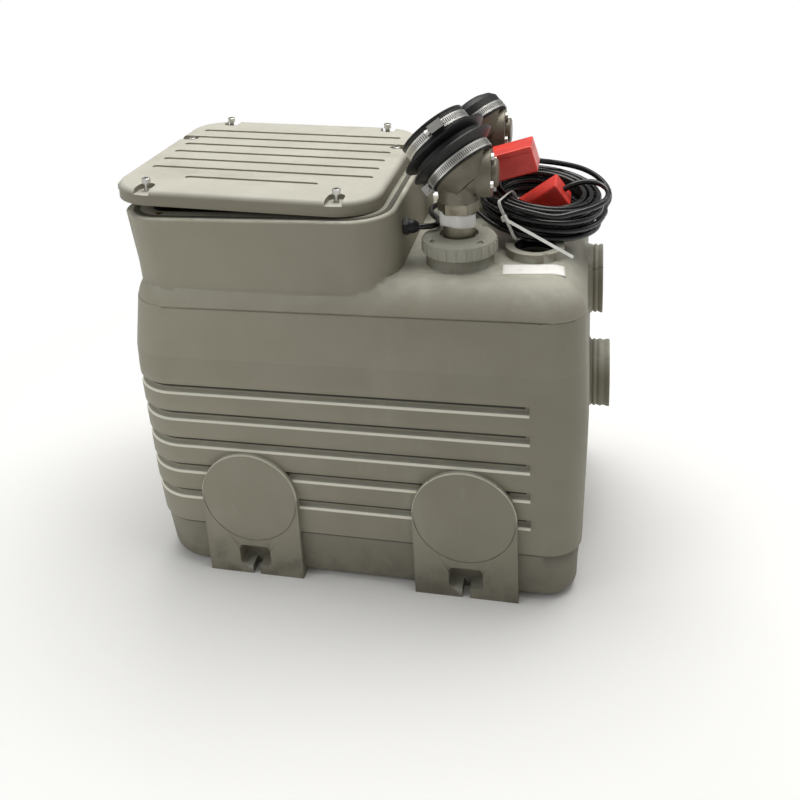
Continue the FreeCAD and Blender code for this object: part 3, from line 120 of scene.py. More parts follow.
class Finish:
    """A material made of nodes, on each piece's own coordinates in metres."""

    def __init__(self, name, roughness=0.5, metallic=0.0, **sockets):
        self.material = bpy.data.materials.new(name)
        self.material.use_nodes = True
        self.tree = self.material.node_tree
        self.shader = self.tree.nodes["Principled BSDF"]
        self.set("Roughness", roughness)
        self.set("Metallic", metallic)
        for key, value in sockets.items():
            self.set(key.replace("_", " "), value)
        self.place = self.node("TexCoord", {}, {}, "Object")

    def set(self, socket, value):
        """Sets or links one of the shader's sockets."""
        plug(self.shader.inputs[socket], value)

    def node(self, kind, settings, sockets, output=0):
        """Any other node, its settings first and its sockets after."""
        node = self.tree.nodes.new("ShaderNode" + kind)
        for key, value in settings.items():
            setattr(node, key, value)
        for key, value in sockets.items():
            plug(node.inputs[key], value)
        return Value(node.outputs[output])

    def noise(self, scale, detail=3.0, stretch=(1, 1, 1)):
        """Cloudy noise, so many blobs to a metre, drawn out along an axis by a small stretch."""
        place = self.place
        if stretch != (1, 1, 1):
            place = self.node("VectorMath", {"operation": "MULTIPLY"}, {0: self.place, 1: stretch})
        return self.node("TexNoise", {}, {"Vector": place, "Scale": scale, "Detail": detail,
                                          "Roughness": 0.55}, "Fac")

    def axis(self, name):
        """One coordinate of the surface point."""
        return self.node("SeparateXYZ", {}, {0: self.place}, name)

    def blend(self, first, second, share):
        """A mix of two colours."""
        return self.node("Mix", {"data_type": "RGBA"}, {0: share, 6: first, 7: second}, 2)

    def bump(self, height, depth):
        """Dents the surface by a height of 0 to 1, so many metres deep."""
        self.set("Normal", self.node("Bump", {}, {"Height": height, "Distance": depth,
                                                  "Strength": 1.0}, "Normal"))


def cable_sheath():
    """Black rubber sheath: satin, dusty in patches, with faint scuffs."""
    sheath = Finish("black cable sheath", Specular_IOR_Level=0.55)
    dust = sheath.noise(38, 4).between(0.52, 0.8)
    fine = sheath.noise(900, 2)
    sheath.set("Base Color", sheath.blend(colour(9, 9, 10), colour(52, 51, 49), dust * 0.35))
    sheath.set("Roughness", 0.22 + dust * 0.28 + fine * 0.06)
    sheath.bump(fine, 0.00012)
    return sheath.material


sheath_finish = cable_sheath()
cable = 0.009
coil_centre = Vector((0.275, 0.012, 0.5509))
coil_lean = Matrix.Rotation(math.radians(8.3), 3, "Y") @ Matrix.Rotation(math.radians(5.0), 3, "X")
turns_in, points_in_turn = 3, 16
outer_turn, turn_pitch, layer_rise = 0.099, 0.0114, 0.013


def coil_points(start, turns_out, base, straight):
    """A lead's turns: spiralling in on one layer, up half a turn, and out again on the next."""
    points = []
    steps = round((turns_in + 0.5 + turns_out) * points_in_turn)
    for number in range(steps + 1):
        turns = (turns_in + 0.5 + turns_out) * number / steps
        climb = min(max((turns - turns_in) / 0.5, 0.0), 1.0)
        inset = min(turns, turns_in) if climb < 1 else 2 * turns_in + 0.5 - turns
        radius = outer_turn - turn_pitch * inset
        angle = math.radians(start) + 2 * math.pi * turns
        rise = base + layer_rise * (1 - math.cos(math.pi * climb)) / 2
        points.append(Vector((radius * math.cos(angle), radius * math.sin(angle), rise)))
    points.insert(0, points[0] + (points[0] - points[1]).normalized() * straight)
    points.append(points[-1] + (points[-1] - points[-2]).normalized() * straight)
    return [coil_centre + coil_lean @ point for point in points]


def in_metres(points):
    """Points given in millimetres in the tank's frame."""
    return [Vector(point) / 1000 for point in points]


def on_coil(points):
    """Points given in millimetres in the coils' own frame."""
    return [coil_centre + coil_lean @ point for point in in_metres(points)]


def lead(name, points):
    """One whole lead as a round curve through its free stretches and its coil."""
    data = bpy.data.curves.new(name, "CURVE")
    data.dimensions = "3D"
    data.resolution_u = 3
    data.bevel_depth = cable / 2
    data.bevel_resolution = 3
    data.use_fill_caps = True
    line = data.splines.new("NURBS")
    line.points.add(len(points) - 1)
    for point, place in zip(line.points, points):
        point.co = (*place, 1.0)
    line.order_u = 3
    line.use_endpoint_u = True
    piece = bpy.data.objects.new(name, data)
    bpy.context.collection.objects.link(piece)
    data.materials.append(sheath_finish)
    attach(piece, "station")
    return piece


front_way = in_metres([(102.6, -118, 570), (114.6, -118, 570), (127, -113, 570.5), (131.5, -100, 571),
                       (126, -84, 571), (117, -67, 570.5), (110, -49, 569.5), (108, -29.5, 568.5),
                       (112, -11, 567.5), (123.5, 3, 566.5), (141, 9, 565.5), (160, 5.5, 564.8),
                       (174.3, -5.6, 564)])
front_far = (in_metres([(374.9, 38.9, 551.9)])
             + on_coil([(105.8, 46, 18.1), (103.2, 66.4, 27.4), (87.5, 82.7, 38.3), (62.6, 91.3, 46.7),
                        (34.8, 88.1, 51.8), (7.1, 83.4, 54.2), (-16.6, 69.6, 58.4), (-37.9, 56.7, 66.2)])
             + in_metres([(237.8, 43, 636.1), (237.8, 23, 636.1)]))
rear_way = in_metres([(102.6, 82, 570), (117.6, 82, 570), (134, 79.5, 574.5), (149.5, 72.5, 580.5),
                      (163, 63, 586.5), (173.5, 51, 591), (180.6, 35.7, 593.6)])
rear_far = (in_metres([(307.2, -87.8, 577.4)])
            + on_coil([(50, -87.3, 45.9), (75.8, -70.6, 50.6), (96, -46, 56), (99, -15, 61.5),
                       (77.2, 5.4, 63.9)])
            + in_metres([(329.1, 12, 600.4), (312.7, 12, 588.9)]))
front_lead = lead("front_lead_whole", front_way + coil_points(205, 2.9306, 0.0, cable) + front_far)
rear_lead = lead("rear_lead_whole", rear_way + coil_points(180, 2.75, 0.0265, cable) + rear_far)
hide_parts("front_lead", "front_lead_coil", "front_lead_end")
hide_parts("rear_lead", "rear_lead_coil", "rear_lead_end")


# Tank. One hollow rotomoulded shell of warm grey polyethylene, satin, mottled and dusty near the floor.
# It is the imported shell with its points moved, and its outer wall lofted anew, to the form in the
# photograph: a barrelled left end, rounder grooves, a crisp shoulder crease and beads on the stubs.
def dress(name, finish):
    """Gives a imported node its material."""
    node = nodes[name]
    node.data.materials.clear()
    node.data.materials.append(finish)


def moulded(name, base, shade, grain=1400, roughness=0.5, depth=0.0002):
    """Moulded plastic: soft mottling, a fine skin grain and a little dust."""
    skin = Finish(name, Specular_IOR_Level=0.35)
    cloud = skin.noise(9, 4)
    speck = skin.noise(grain, 2)
    wear = skin.noise(60, 5, (1, 1, 0.35)).between(0.6, 0.85)
    body = skin.blend(colour(*base), colour(*shade), cloud.between(0.35, 0.72) * 0.8)
    skin.body = skin.blend(body, colour(*(min(255, c + 26) for c in base)), wear * 0.35 + speck * 0.12)
    skin.set("Base Color", skin.body)
    skin.set("Roughness", roughness + cloud * 0.1 - wear * 0.08)
    skin.bump(speck * 0.6 + skin.noise(160, 2) * 0.4, depth)
    return skin


def tank_skin():
    """The tank's own finish, with grime low down and rubbed dirt on the shoulders, and painted light and
    shade: the left end painted lighter and the right end darker, painted shade under the band crease and on
    the foot band, painted light on up-facing faces, and painted highlights and shade along the groove lips,
    creases and pad rims.
    """
    skin = moulded("warm grey polyethylene", (150, 146, 130), (139, 135, 118))
    height = skin.axis("Z")
    low = 1 - height.between(0.0, 0.11)
    splash = skin.noise(26, 5).between(0.42, 0.7)
    smear = skin.noise(11, 5, (1, 1, 0.2)).between(0.58, 0.78)
    # Painted light and shade across the tank: the left end is painted lighter and the right end darker, as
    # the light falls.
    painted_light_slope = skin.axis("X").between(-0.35, 0.34)
    painted_shade_base = skin.blend(skin.body, colour(170, 165, 146), (1 - painted_light_slope) * 0.4)
    painted_shade_base = skin.blend(painted_shade_base, colour(122, 118, 103), painted_light_slope * 0.42)
    # Painted shade: the wall below the faint crease at 0.388 m is painted a little darker.
    painted_shade_base = skin.blend(painted_shade_base, colour(112, 108, 94), (1 - height.between(0.3865, 0.389)) * 0.13)
    dirty = skin.blend(painted_shade_base, colour(92, 87, 76), low * (0.3 + splash * 0.5))
    dusty = skin.blend(dirty, colour(171, 168, 154), smear * (1 - low) * 0.25)
    depth = skin.axis("Y")
    proud = depth.math("ABSOLUTE", depth).between(0.2343, 0.2345)
    # Painted shade: the foot band below its step is painted darker, as the shade under the overhang.
    foot = (1 - height.between(0.0825, 0.084)) * (1 - proud)
    with_painted_light = skin.blend(dusty, colour(112, 108, 95), foot * 0.35)
    # Painted light, partly dust: faces that point up are painted lighter, in patches, as lit from above.
    normal = skin.node("TexCoord", {}, {}, "Normal")
    painted_top_light = skin.node("SeparateXYZ", {}, {0: normal}, "Z").between(0.25, 1.0)
    with_painted_light = skin.blend(with_painted_light, colour(196, 197, 184), painted_top_light * (0.35 + splash * 0.25))
    # Painted highlights and painted shade: a vertex layer lightens the groove lips and pad rims and darkens
    # the groove backs and creases.
    tone = skin.node("Attribute", {"attribute_name": "painted_light_tone"}, {}, "Fac")
    shaded = skin.blend(with_painted_light, colour(26, 25, 18), (tone * -1).between(0.05, 1.0) * 0.94)
    skin.set("Base Color", skin.blend(shaded, colour(246, 244, 226), tone.between(0.15, 0.85)))
    return skin.material


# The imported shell's heights: the foot's ledge, and the shoulder's start, top and depth. Two cuts made
# just under its start become the lower side of the new crease.
ledge_z, shoulder_start, shoulder_top, shoulder_drop = 0.0835, 0.466, 0.518, 0.052
cut_low, cut_high = 0.462, 0.464
crease_low, crease_mid, crease_z = 0.4695, 0.4712, 0.473
plain_corner, real_corner, corner_reach = 0.055, 0.074, 0.095
box_left, box_side, box_lean = -0.349, 0.216, 0.007
# Each groove's height, and its form upward from there: rise, depth and painted light tone, positive for a
# painted highlight on the lip and negative for painted shade in the groove's back.
grooves, groove_end = (0.124, 0.1725, 0.221, 0.2695, 0.318), 0.272
groove_form = ((0.0022, 0, 0), (0.0038, 0.0009, 1), (0.0062, 0.0024, 0.9), (0.0068, 0.003, 0.25),
               (0.0095, 0.008, 0.2), (0.0126, 0.008, -0.2), (0.0143, 0.008, -1), (0.0213, 0.008, -1),
               (0.0215, 0, 0))
seam, left_blend, right_blend = 0.285, (0.253, 0.265), (0.285, 0.305)
pad_radius, pad_face, pad_z, pads_x = 0.080, 0.24, 0.1434, (-0.171, 0.173)
pad_line, pad_line_out = (0.0715, 0.0745), 0.0045
# The walls are cut at these heights, and only faces nearer the middle than wall_side are.
wall_cuts, wall_side = (0.105, 0.155, 0.205, 0.255, 0.305, 0.352, 0.388, 0.41, 0.43, 0.445), 0.2345
# Half the width that each pad hides of the first two grooves, and of the wall behind its pocket.
groove_gaps, pocket_half = (0.0795, 0.0612), 0.0612
stub_y, stub_heights, stub_radius = 0.040, (0.256, 0.428), 0.055
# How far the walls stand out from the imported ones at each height, and the stubs' skin at each x.
left_out = ((0, 0.008), (0.04, 0.011), (0.0835, 0.015), (0.15, 0.018), (0.27, 0.0175), (0.35, 0.016),
            (0.388, 0.013), (0.41, 0.009), (0.445, 0.0025), (0.473, -0.003), (0.518, -0.003))
right_out = ((0, -0.007), (0.06, -0.005), (0.0835, -0.0025), (0.15, -0.0005), (0.21, 0.0015), (0.3, 0.004),
             (0.388, 0.001), (0.43, -0.0015), (0.518, -0.002))
front_out = ((0, 0), (0.25, 0), (0.388, 0.003), (0.462, 0), (0.518, 0))
stub_form = ((0.3575, 0.0), (0.359, -0.0014), (0.361, 0.0006), (0.3635, 0.0009), (0.366, -0.0014),
             (0.369, 0.0002), (0.3725, 0.0012), (0.376, -0.0008), (0.380, 0.0), (0.3835, 0.0012),
             (0.390, 0.0006))


def read(line, place):
    """The amount at a place on a broken line."""
    for (low, first), (high, last) in zip(line, line[1:]):
        if place <= high:
            share = (place - low) / (high - low)
            return first + (last - first) * min(max(share, 0), 1)
    return line[-1][1]


def step(value, low, high):
    """0 at low, 1 at high, straight between and level outside."""
    return min(max((value - low) / (high - low), 0), 1)


def near(value, level, slack=0.0004):
    """True close to a level."""
    return abs(value - level) < slack


def plan_at(z):
    """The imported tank's left end, right end and half depth at one height."""
    low = 1 - z / shoulder_top
    return -0.353 + 0.018 * low, 0.353 - 0.005 * low, 0.2315 - 0.002 * low


def inset_at(x, y, z):
    """How far inside the tank's plan a point lies."""
    left, right, deep = plan_at(z)
    along = abs(x - (left + right) / 2) - (right - left) / 2 + plain_corner
    across = abs(y) - deep + plain_corner
    return plain_corner - math.hypot(max(along, 0), max(across, 0)) - min(max(along, across), 0)


def wider_corner(x, y, z):
    """The left corners with the larger rounding of the moulding."""
    left, _, deep = plan_at(z)
    u, v = x - left, deep - abs(y)
    share = 1 - step(z, crease_z, 0.512)
    if max(u, v) > corner_reach or min(u, v) > plain_corner or share == 0:
        return x, y
    if u < plain_corner and v < plain_corner:
        du, dv = plain_corner - u, plain_corner - v
        far = math.hypot(du, dv)
        reach = real_corner - plain_corner + far
        goal = (real_corner - reach * du / far, real_corner - reach * dv / far)
    else:
        stretch = (corner_reach - real_corner) / (corner_reach - plain_corner)
        moved = corner_reach - (corner_reach - max(u, v)) * stretch
        goal = (moved, v) if u > v else (u, moved)
    u, v = u + (goal[0] - u) * share, v + (goal[1] - v) * share
    return left + u, math.copysign(deep - v, y)


def softer_shoulder(inset, z):
    """The shoulder's rise: an upright ellipse from 30 degrees on, which starts at a crisp crease."""
    if not shoulder_start - 0.0005 < z < shoulder_top + 0.0005 or not -0.001 < inset < shoulder_drop:
        return z
    inset = max(inset, 0)
    plain = shoulder_start + math.sqrt(shoulder_drop ** 2 - (shoulder_drop - inset) ** 2)
    across, upward = 0.060, 0.090
    turn = math.acos(max(0.866 - inset / across, 0))
    return z + crease_z + upward * (math.sin(turn) - 0.5) - plain


def disc_line(x, y, z):
    """A pad's round line, which shows under its middle only, close to the pad's edge."""
    for middle in pads_x:
        far = math.hypot(x - middle, z - pad_z)
        if abs(y) > pad_face - 0.002 and pad_line[0] < far < pad_line[1]:
            y = math.copysign(pad_face + (abs(y) - pad_face) * step(pad_z - z, 0, 0.012), y)
            share = (far + pad_line_out) / far
            return middle + (x - middle) * share, y, pad_z + (z - pad_z) * share
    return x, y, z


def stub_beads(x, y, z):
    """The inlet stubs' moulded beads and grooves."""
    for height in stub_heights:
        far = math.hypot(y - stub_y, z - height)
        if x > 0.3536 and 0.053 < far < 0.061:
            goal = stub_radius + read(stub_form, x)
            return stub_y + (y - stub_y) * goal / far, height + (z - height) * goal / far
    return y, z


def moulded_place(point):
    """Where a point of the plain shell lies on the real moulding."""
    x, y, z = point
    if z > shoulder_top + 0.0005:
        box_inset = min(x - box_left, box_side - abs(y))
        if box_inset < 0.0055 and x < -0.2 and z < 0.6101:
            x -= box_lean * step(-x, 0.25, 0.32) * step(z, 0.5, 0.61)
        return x, y, z
    inset = inset_at(x, y, z)
    left, right, deep = plan_at(z)
    if x > right + 0.0006 and z < 0.5:
        return x, *stub_beads(x, y, z)
    if abs(y) > deep + 0.0006:
        return disc_line(x, y, z)
    height = softer_shoulder(inset, z)
    if near(z, cut_high) and inset < 0.001:
        y -= math.copysign(0.0012, y) * (abs(y) > deep - 0.02)
        x -= math.copysign(0.0012, x) * (abs(x) > 0.335)
        height = crease_mid
    elif near(z, cut_low) and inset < 0.001:
        height = crease_low
    x, y = wider_corner(x, y, z)
    x -= read(left_out, z) * step(-x, *left_blend) - read(right_out, z) * step(x, *right_blend)
    if inset < 0.02 and abs(y) > 0.19:
        y += math.copysign(read(front_out, z), y)
    return x, y, height


def from_pad(place, middle):
    """How far a point lies from a pad's middle: round above it, straight across below."""
    across = abs(place.x - middle)
    return math.hypot(across, place.z - pad_z) if place.z > pad_z else across


def grooved_face(face):
    """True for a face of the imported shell's outer wall that the moulded wall stands in for."""
    places = [point.co for point in face.verts]
    if any(p.z > shoulder_start + 0.0001 or p.x > seam + 0.0001 or abs(p.y) > plan_at(p.z)[2] + 0.0006
           for p in places):
        return False
    if any(all(near(from_pad(p, middle), pad_radius, 0.0006) for p in places) for middle in pads_x):
        return False
    insets = [inset_at(*p) for p in places]
    centre = face.calc_center_median()
    outward = face.normal.y * math.copysign(1, centre.y) if abs(centre.y) > 0.19 else -face.normal.x
    if max(p.z for p in places) < 0.0225:
        return outward > 0.05 and min(abs(centre.x - x) for x in pads_x) > 0.04 or min(insets) < 0.006
    return min(insets) < 0.006 or outward > 0.5 and max(insets) < 0.0086


def shell_painted_light(x, y, z):
    """The painted highlight on a pad's top edge, and the painted shade lines under the shoulder and over the
    foot.
    """
    rim = any(near(math.hypot(x - middle, z - pad_z), pad_radius) for middle in pads_x)
    if rim and abs(y) > pad_face - 0.0005 and z > pad_z:
        return 0.7
    crease = near(z, cut_high) and inset_at(x, y, z) < 0.001 or near(z, ledge_z, 0.0002)
    return -0.6 if crease and abs(y) < wall_side else 0


def groove_share(number, x):
    """1 where a groove runs, 0 past its end and behind a pad."""
    if x > groove_end - 0.0002:
        return 0
    half = groove_gaps[number] if number < len(groove_gaps) else 0
    return 0 if any(abs(x - middle) < half - 0.0001 for middle in pads_x) else 1


def wall_levels():
    """The moulded wall's levels from the foot up: height, set-back, groove depth and number, painted light
    tone.
    """
    levels = []
    for turn in range(7):
        angle = math.radians(15 * turn)
        levels.append((0.022 * (1 - math.cos(angle)), 0.003 + 0.022 * (1 - math.sin(angle)), 0, 0, 0))
    # The negative tones at the foot's step and the shoulder crease are painted shade.
    lines = ((0.05, 0.003, 0), (0.078, 0.003, 0), (0.081, 0.0035, -0.8), (0.0832, 0.002, -0.5), (0.084, 0, 0),
             (crease_low, 0, 0), (crease_mid, 0.0012, -0.6), (crease_z, 0, 0))
    levels += [(z, inset, 0, 0, tone) for z, inset, tone in lines]
    levels += [(z, 0, 0, 0, 0) for z in (*wall_cuts, 0.37, 0.40)]
    for number, low in enumerate(grooves):
        levels += [(low + rise, 0, depth, number, tone) for rise, depth, tone in groove_form]
    return sorted(levels)


def wall_ring(z, inset, depth, number, tone):
    """The points of one level, from the seam in front round the left end to the seam behind."""
    left, _, deep = plan_at(z)
    columns = {seam, groove_end, groove_end - 0.0003, 0.02, -0.02}
    for middle in pads_x:
        for far in (0, 0.03, 0.061, 0.0613, 0.0793, 0.0796):
            columns |= {middle - far, middle + far}
    ring = [(x, -deep, x, 0, -1) for x in sorted(columns, reverse=True)]
    corner_steps = 14
    for turn in range(corner_steps + 1):
        angle = math.radians(90 * turn / corner_steps)
        out_x, out_y = -math.sin(angle), -math.cos(angle)
        ring.append((left + real_corner * (1 + out_x), -deep + real_corner * (1 + out_y), -1, out_x, out_y))
    ring = [place for place in ring if place[0] > left + real_corner or place[2] == -1]
    ring += [(x, -y, old, out_x, -out_y) for x, y, old, out_x, out_y in reversed(ring)]
    points = []
    for x, y, old, out_x, out_y in ring:
        share = groove_share(number, old) if depth else 1
        back = inset + depth * share
        x, y = x - out_x * back, y - out_y * back
        x -= read(left_out, z) * step(-x, *left_blend)
        points.append(((x, y + math.copysign(read(front_out, z), y), z), tone * share))
    return points


def moulded_wall(shape, painted_light_tone):
    """The grooved wall, lofted level by level round the left end, open behind the pads' pockets."""
    rows = []
    for level in wall_levels():
        rows.append([])
        for place, tone in wall_ring(*level):
            rows[-1].append(shape.verts.new(place))
            rows[-1][-1][painted_light_tone] = tone
    for low, high in zip(rows, rows[1:]):
        for first, last, top_last, top_first in zip(low, low[1:], high[1:], high):
            x = (first.co.x + last.co.x) / 2
            pocket = high[0].co.z < 0.11 and any(near(x, middle, pocket_half) for middle in pads_x)
            if not pocket or abs(first.co.y) < 0.19:
                shape.faces.new((first, top_first, top_last, last))


def tank_moulding():
    """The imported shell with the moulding's barrel, grooves, creases and beads."""
    shape = bmesh.new()
    shape.from_mesh(nodes["tank_shell"].data)
    bmesh.ops.remove_doubles(shape, verts=shape.verts, dist=0.00001)
    cuts = [((0, 0, z), (0, 0, 1)) for z in (0.02, 0.05, ledge_z, *wall_cuts, cut_low, cut_high)]
    cuts += [((x, 0, 0), (1, 0, 0)) for x in (*(-x for x in left_blend), *right_blend,
                                              *(x for x, _ in stub_form[:-1]))]
    for place, way in cuts:
        faces = [face for face in shape.faces if any(abs(point.co.y) < wall_side for point in face.verts)]
        rest = {part for face in faces for part in (*face.verts, *face.edges)}
        bmesh.ops.bisect_plane(shape, geom=[*faces, *rest], dist=0.000002, plane_co=place, plane_no=way)
    shape.normal_update()
    bmesh.ops.delete(shape, geom=[face for face in shape.faces if grooved_face(face)], context="FACES")
    # A vertex layer of painted light: positive values are painted highlights, negative ones painted shade.
    painted_light_tone = shape.verts.layers.float.new("painted_light_tone")
    for point in shape.verts:
        point[painted_light_tone] = shell_painted_light(*point.co)
        point.co = moulded_place(point.co)
    moulded_wall(shape, painted_light_tone)
    data = bpy.data.meshes.new("tank_moulding")
    shape.to_mesh(data)
    shape.free()
    data.shade_smooth()
    data.set_sharp_from_angle(angle=math.radians(24))
    piece = bpy.data.objects.new("tank_moulding", data)
    bpy.context.collection.objects.link(piece)
    weigh = piece.modifiers.new("flat faces keep their shade", "WEIGHTED_NORMAL")
    weigh.keep_sharp = True
    return piece


tank = tank_moulding()
tank.data.materials.append(tank_skin())
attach(tank, "station")
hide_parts("tank_shell")


# Lid. A lighter grey moulded plate with raised ribs and a turned-down lip, which lies loose on the rim
# with its screws standing in their holes. It has been handled, so it is rubbed and smeared.
def lid_skin():
    """The lid's finish: pale, with long rubbed smears, and its sides painted darker as shade."""
    skin = moulded("light grey lid plastic", (180, 178, 166), (169, 167, 154), roughness=0.46)
    smear = skin.noise(14, 6, (0.35, 1, 1)).between(0.52, 0.75)
    stain = skin.noise(5, 6).between(0.6, 0.8)
    rubbed = skin.blend(skin.body, colour(146, 142, 130), smear * 0.4)
    rubbed = skin.blend(rubbed, colour(112, 105, 93), stain * 0.3)
    # Painted shade: faces that do not point up are painted darker.
    up = skin.node("SeparateXYZ", {}, {0: skin.node("TexCoord", {}, {}, "Normal")}, "Z").between(-0.1, 0.75)
    skin.set("Base Color", skin.blend(colour(136, 131, 114), rubbed, up))
    return skin.material


dress("lid", lid_skin())


# Steel fastenings. The lid's screws, the cover's bolts and the clamps' worm screws are stainless steel,
# turned and lightly brushed, as are the pumps' shafts and handles. The inserts in the rim are brass.
def metal(name, base, roughness=0.3, stretch=(1, 1, 1), tarnish=(90, 84, 72), share=0.3):
    """Worked metal with a drawn grain and some tarnish."""
    skin = Finish(name, metallic=1.0)
    grain = skin.noise(420, 3, stretch)
    patch = skin.noise(30, 4).between(0.45, 0.75)
    skin.body = skin.blend(colour(*base), colour(*tarnish), patch * share + grain * 0.1)
    skin.set("Base Color", skin.body)
    skin.set("Roughness", roughness + patch * 0.18 + grain * 0.12)
    skin.bump(grain, 0.00006)
    return skin


steel = metal("stainless steel", (205, 204, 200)).material
for name in ("lid_screws", "cover_bolts", "clamp_screws"):
    dress(name, steel)
for side in ("front", "rear"):
    dress(side + "_pump_shaft", steel)
    dress(side + "_pump_handle", steel)
dress("rim_inserts", metal("brass", (196, 160, 92)).material)


# Rubber. The vent's lip seal, the outlet seals, the coupling on the front valve, the cap on the rear
# one and the valves' balls are black rubber with a grey bloom. The lid's gasket is weathered to grey.
def rubber_skin():
    """Black rubber with a grey bloom."""
    skin = Finish("black rubber", Specular_IOR_Level=0.4)
    bloom = skin.noise(24, 5).between(0.45, 0.78)
    grain = skin.noise(1200, 2)
    skin.set("Base Color", skin.blend(colour(14, 14, 15), colour(60, 59, 57), bloom * 0.35 + grain * 0.08))
    skin.set("Roughness", 0.42 + bloom * 0.2)
    skin.bump(grain, 0.00015)
    return skin.material


rubber = rubber_skin()
for name in ("vent_seal", "outlet_seals", "front_coupling", "rear_outlet_cap"):
    dress(name, rubber)
dress("lid_gasket", moulded("weathered gasket rubber", (88, 86, 76), (70, 68, 60), 1100, 0.6).material)
for side in ("front", "rear"):
    dress(side + "_valve_ball", rubber)


# Glands. Two black nylon cable glands screwed through the access box's right wall. The floats'
# brackets inside the tank are of the same nylon.
gland_skin = moulded("black nylon", (34, 34, 35), (27, 27, 29), 900, 0.4).material
dress("cable_glands", gland_skin)
for side in ("front", "rear"):
    dress(side + "_float_bracket", gland_skin)


# Union nuts and tails. Grey moulded nuts with grip ribs screw onto the tank's collars and hold the
# flanged tails of the outlets down on their seals.
nut_skin = moulded("grey nut plastic", (168, 167, 153), (156, 154, 140), 1100, 0.55).material
for side in ("front", "rear"):
    dress(side + "_outlet_nut", nut_skin)
    dress(side + "_outlet_tail", nut_skin)


# Nipples and valves. A dull metal nipple carries each ball check valve, a grey-brown coated casting
# with a leaning branch, closed by a round cover with four bolts.
nipple_skin = metal("dull nipple metal", (150, 145, 128), 0.38, (1, 1, 3), (96, 88, 70), 0.5).material


def casting_skin():
    """Coated casting: grey-brown, fine grained and mottled."""
    skin = Finish("grey-brown casting", metallic=0.35, Specular_IOR_Level=0.5)
    cloud = skin.noise(22, 5).between(0.35, 0.7)
    grain = skin.noise(700, 3)
    skin.set("Base Color", skin.blend(colour(120, 114, 99), colour(94, 88, 75), cloud * 0.7 + grain * 0.15))
    skin.set("Roughness", 0.36 + cloud * 0.16)
    skin.bump(grain, 0.00022)
    return skin.material


casting = casting_skin()
for side in ("front", "rear"):
    dress(side + "_nipple", nipple_skin)
    dress(side + "_valve_body", casting)
    dress(side + "_valve_cover", casting)


# Band clamps. Stainless worm-drive bands draw the rubber onto the valves' branches. A run of pressed
# slots goes all round each band for the worm to climb.
band_radius, slots_round = 0.0556, 106
branch_x, branch_z = 0.173, 0.663
lean, heading = math.radians(45), math.radians(152.6)
branch_way = Vector((math.sin(lean) * math.cos(heading), math.sin(lean) * math.sin(heading), math.cos(lean)))
branch_across = branch_way.cross(Vector((0, 0, 1))).normalized()
branch_up = branch_way.cross(branch_across)


def band_skin(side, y, middles):
    """Bright band steel with its pressed slots, set out by angle about the branch and painted dark as the
    shade in them.
    """
    skin = metal("band steel " + side, (214, 213, 208), 0.24)
    offset = skin.node("VectorMath", {"operation": "SUBTRACT"}, {0: skin.place, 1: (branch_x, y, branch_z)})
    along, across, up = [
        skin.node("VectorMath", {"operation": "DOT_PRODUCT"}, {0: offset, 1: tuple(way)}, "Value")
        for way in (branch_way, branch_across, branch_up)]
    slot = across.math("ARCTAN2", up, across).wave(2 * math.pi / slots_round).between(0.45, 0.62)
    inside = 0.0
    for middle in middles:
        off = along - middle
        inside = (1 - off.math("ABSOLUTE", off).between(0.0036, 0.0044)) + inside
    outside = (across * across + up * up).between((band_radius - 0.0002) ** 2, (band_radius + 0.0002) ** 2)
    slot = slot * inside * (1 - outside)
    # Painted shade: the slots are painted nearly black, with a bump, in place of cut holes.
    skin.set("Base Color", skin.blend(skin.body, colour(24, 23, 22), slot * 0.85))
    skin.bump(1 - slot, 0.0004)
    return skin.material


dress("front_clamps", band_skin("front", -0.122, (0.0075, 0.061)))
dress("rear_clamps", band_skin("rear", 0.122, (0.0075,)))


# Inside the tank. Two grinder pumps stand on the floor on their feet, each with a cast volute and top,
# a steel motor can and a lifting handle, and push up through an elbow and a grey riser pipe.
cast_iron = Finish("dark coated iron", 0.5, 0.2)
iron_cloud = cast_iron.noise(40, 5)
cast_iron.set("Base Color", cast_iron.blend(colour(58, 61, 64), colour(38, 40, 43), iron_cloud))
cast_iron.bump(cast_iron.noise(500, 3), 0.0004)
can_steel = metal("drawn can steel", (190, 190, 188), 0.3, (1, 1, 0.05)).material
pipe_skin = moulded("grey pressure pipe", (112, 115, 118), (104, 107, 110), 1500, 0.4).material
float_skin = moulded("orange float plastic", (205, 104, 38), (190, 92, 30), 1000, 0.4).material
for side in ("front", "rear"):
    for part in ("pump_volute", "pump_foot", "pump_impeller", "pump_top"):
        dress(side + "_" + part, cast_iron.material)
    dress(side + "_pump_motor", can_steel)
    for part in ("riser_pipe", "elbow"):
        dress(side + "_" + part, pipe_skin)
    dress(side + "_float_switch", float_skin)
    dress(side + "_inner_lead", sheath_finish)


# Control boxes. Each pump's lead ends in a small closed box of glossy red plastic, lying on the coils.
def box_skin():
    """Semi-gloss red plastic, a little rubbed and dusty."""
    skin = Finish("red box plastic", Specular_IOR_Level=0.5)
    cloud = skin.noise(30, 4).between(0.4, 0.75)
    rub = skin.noise(120, 5, (1, 0.3, 1)).between(0.62, 0.8)
    body = skin.blend(colour(222, 58, 44), colour(198, 46, 38), cloud)
    skin.set("Base Color", skin.blend(body, colour(214, 92, 80), rub * 0.4))
    skin.set("Roughness", 0.34 + cloud * 0.12)
    skin.bump(skin.noise(800, 2), 0.00012)
    return skin.material


box_finish = box_skin()
for side in ("front", "rear"):
    dress(side + "_control_box", box_finish)


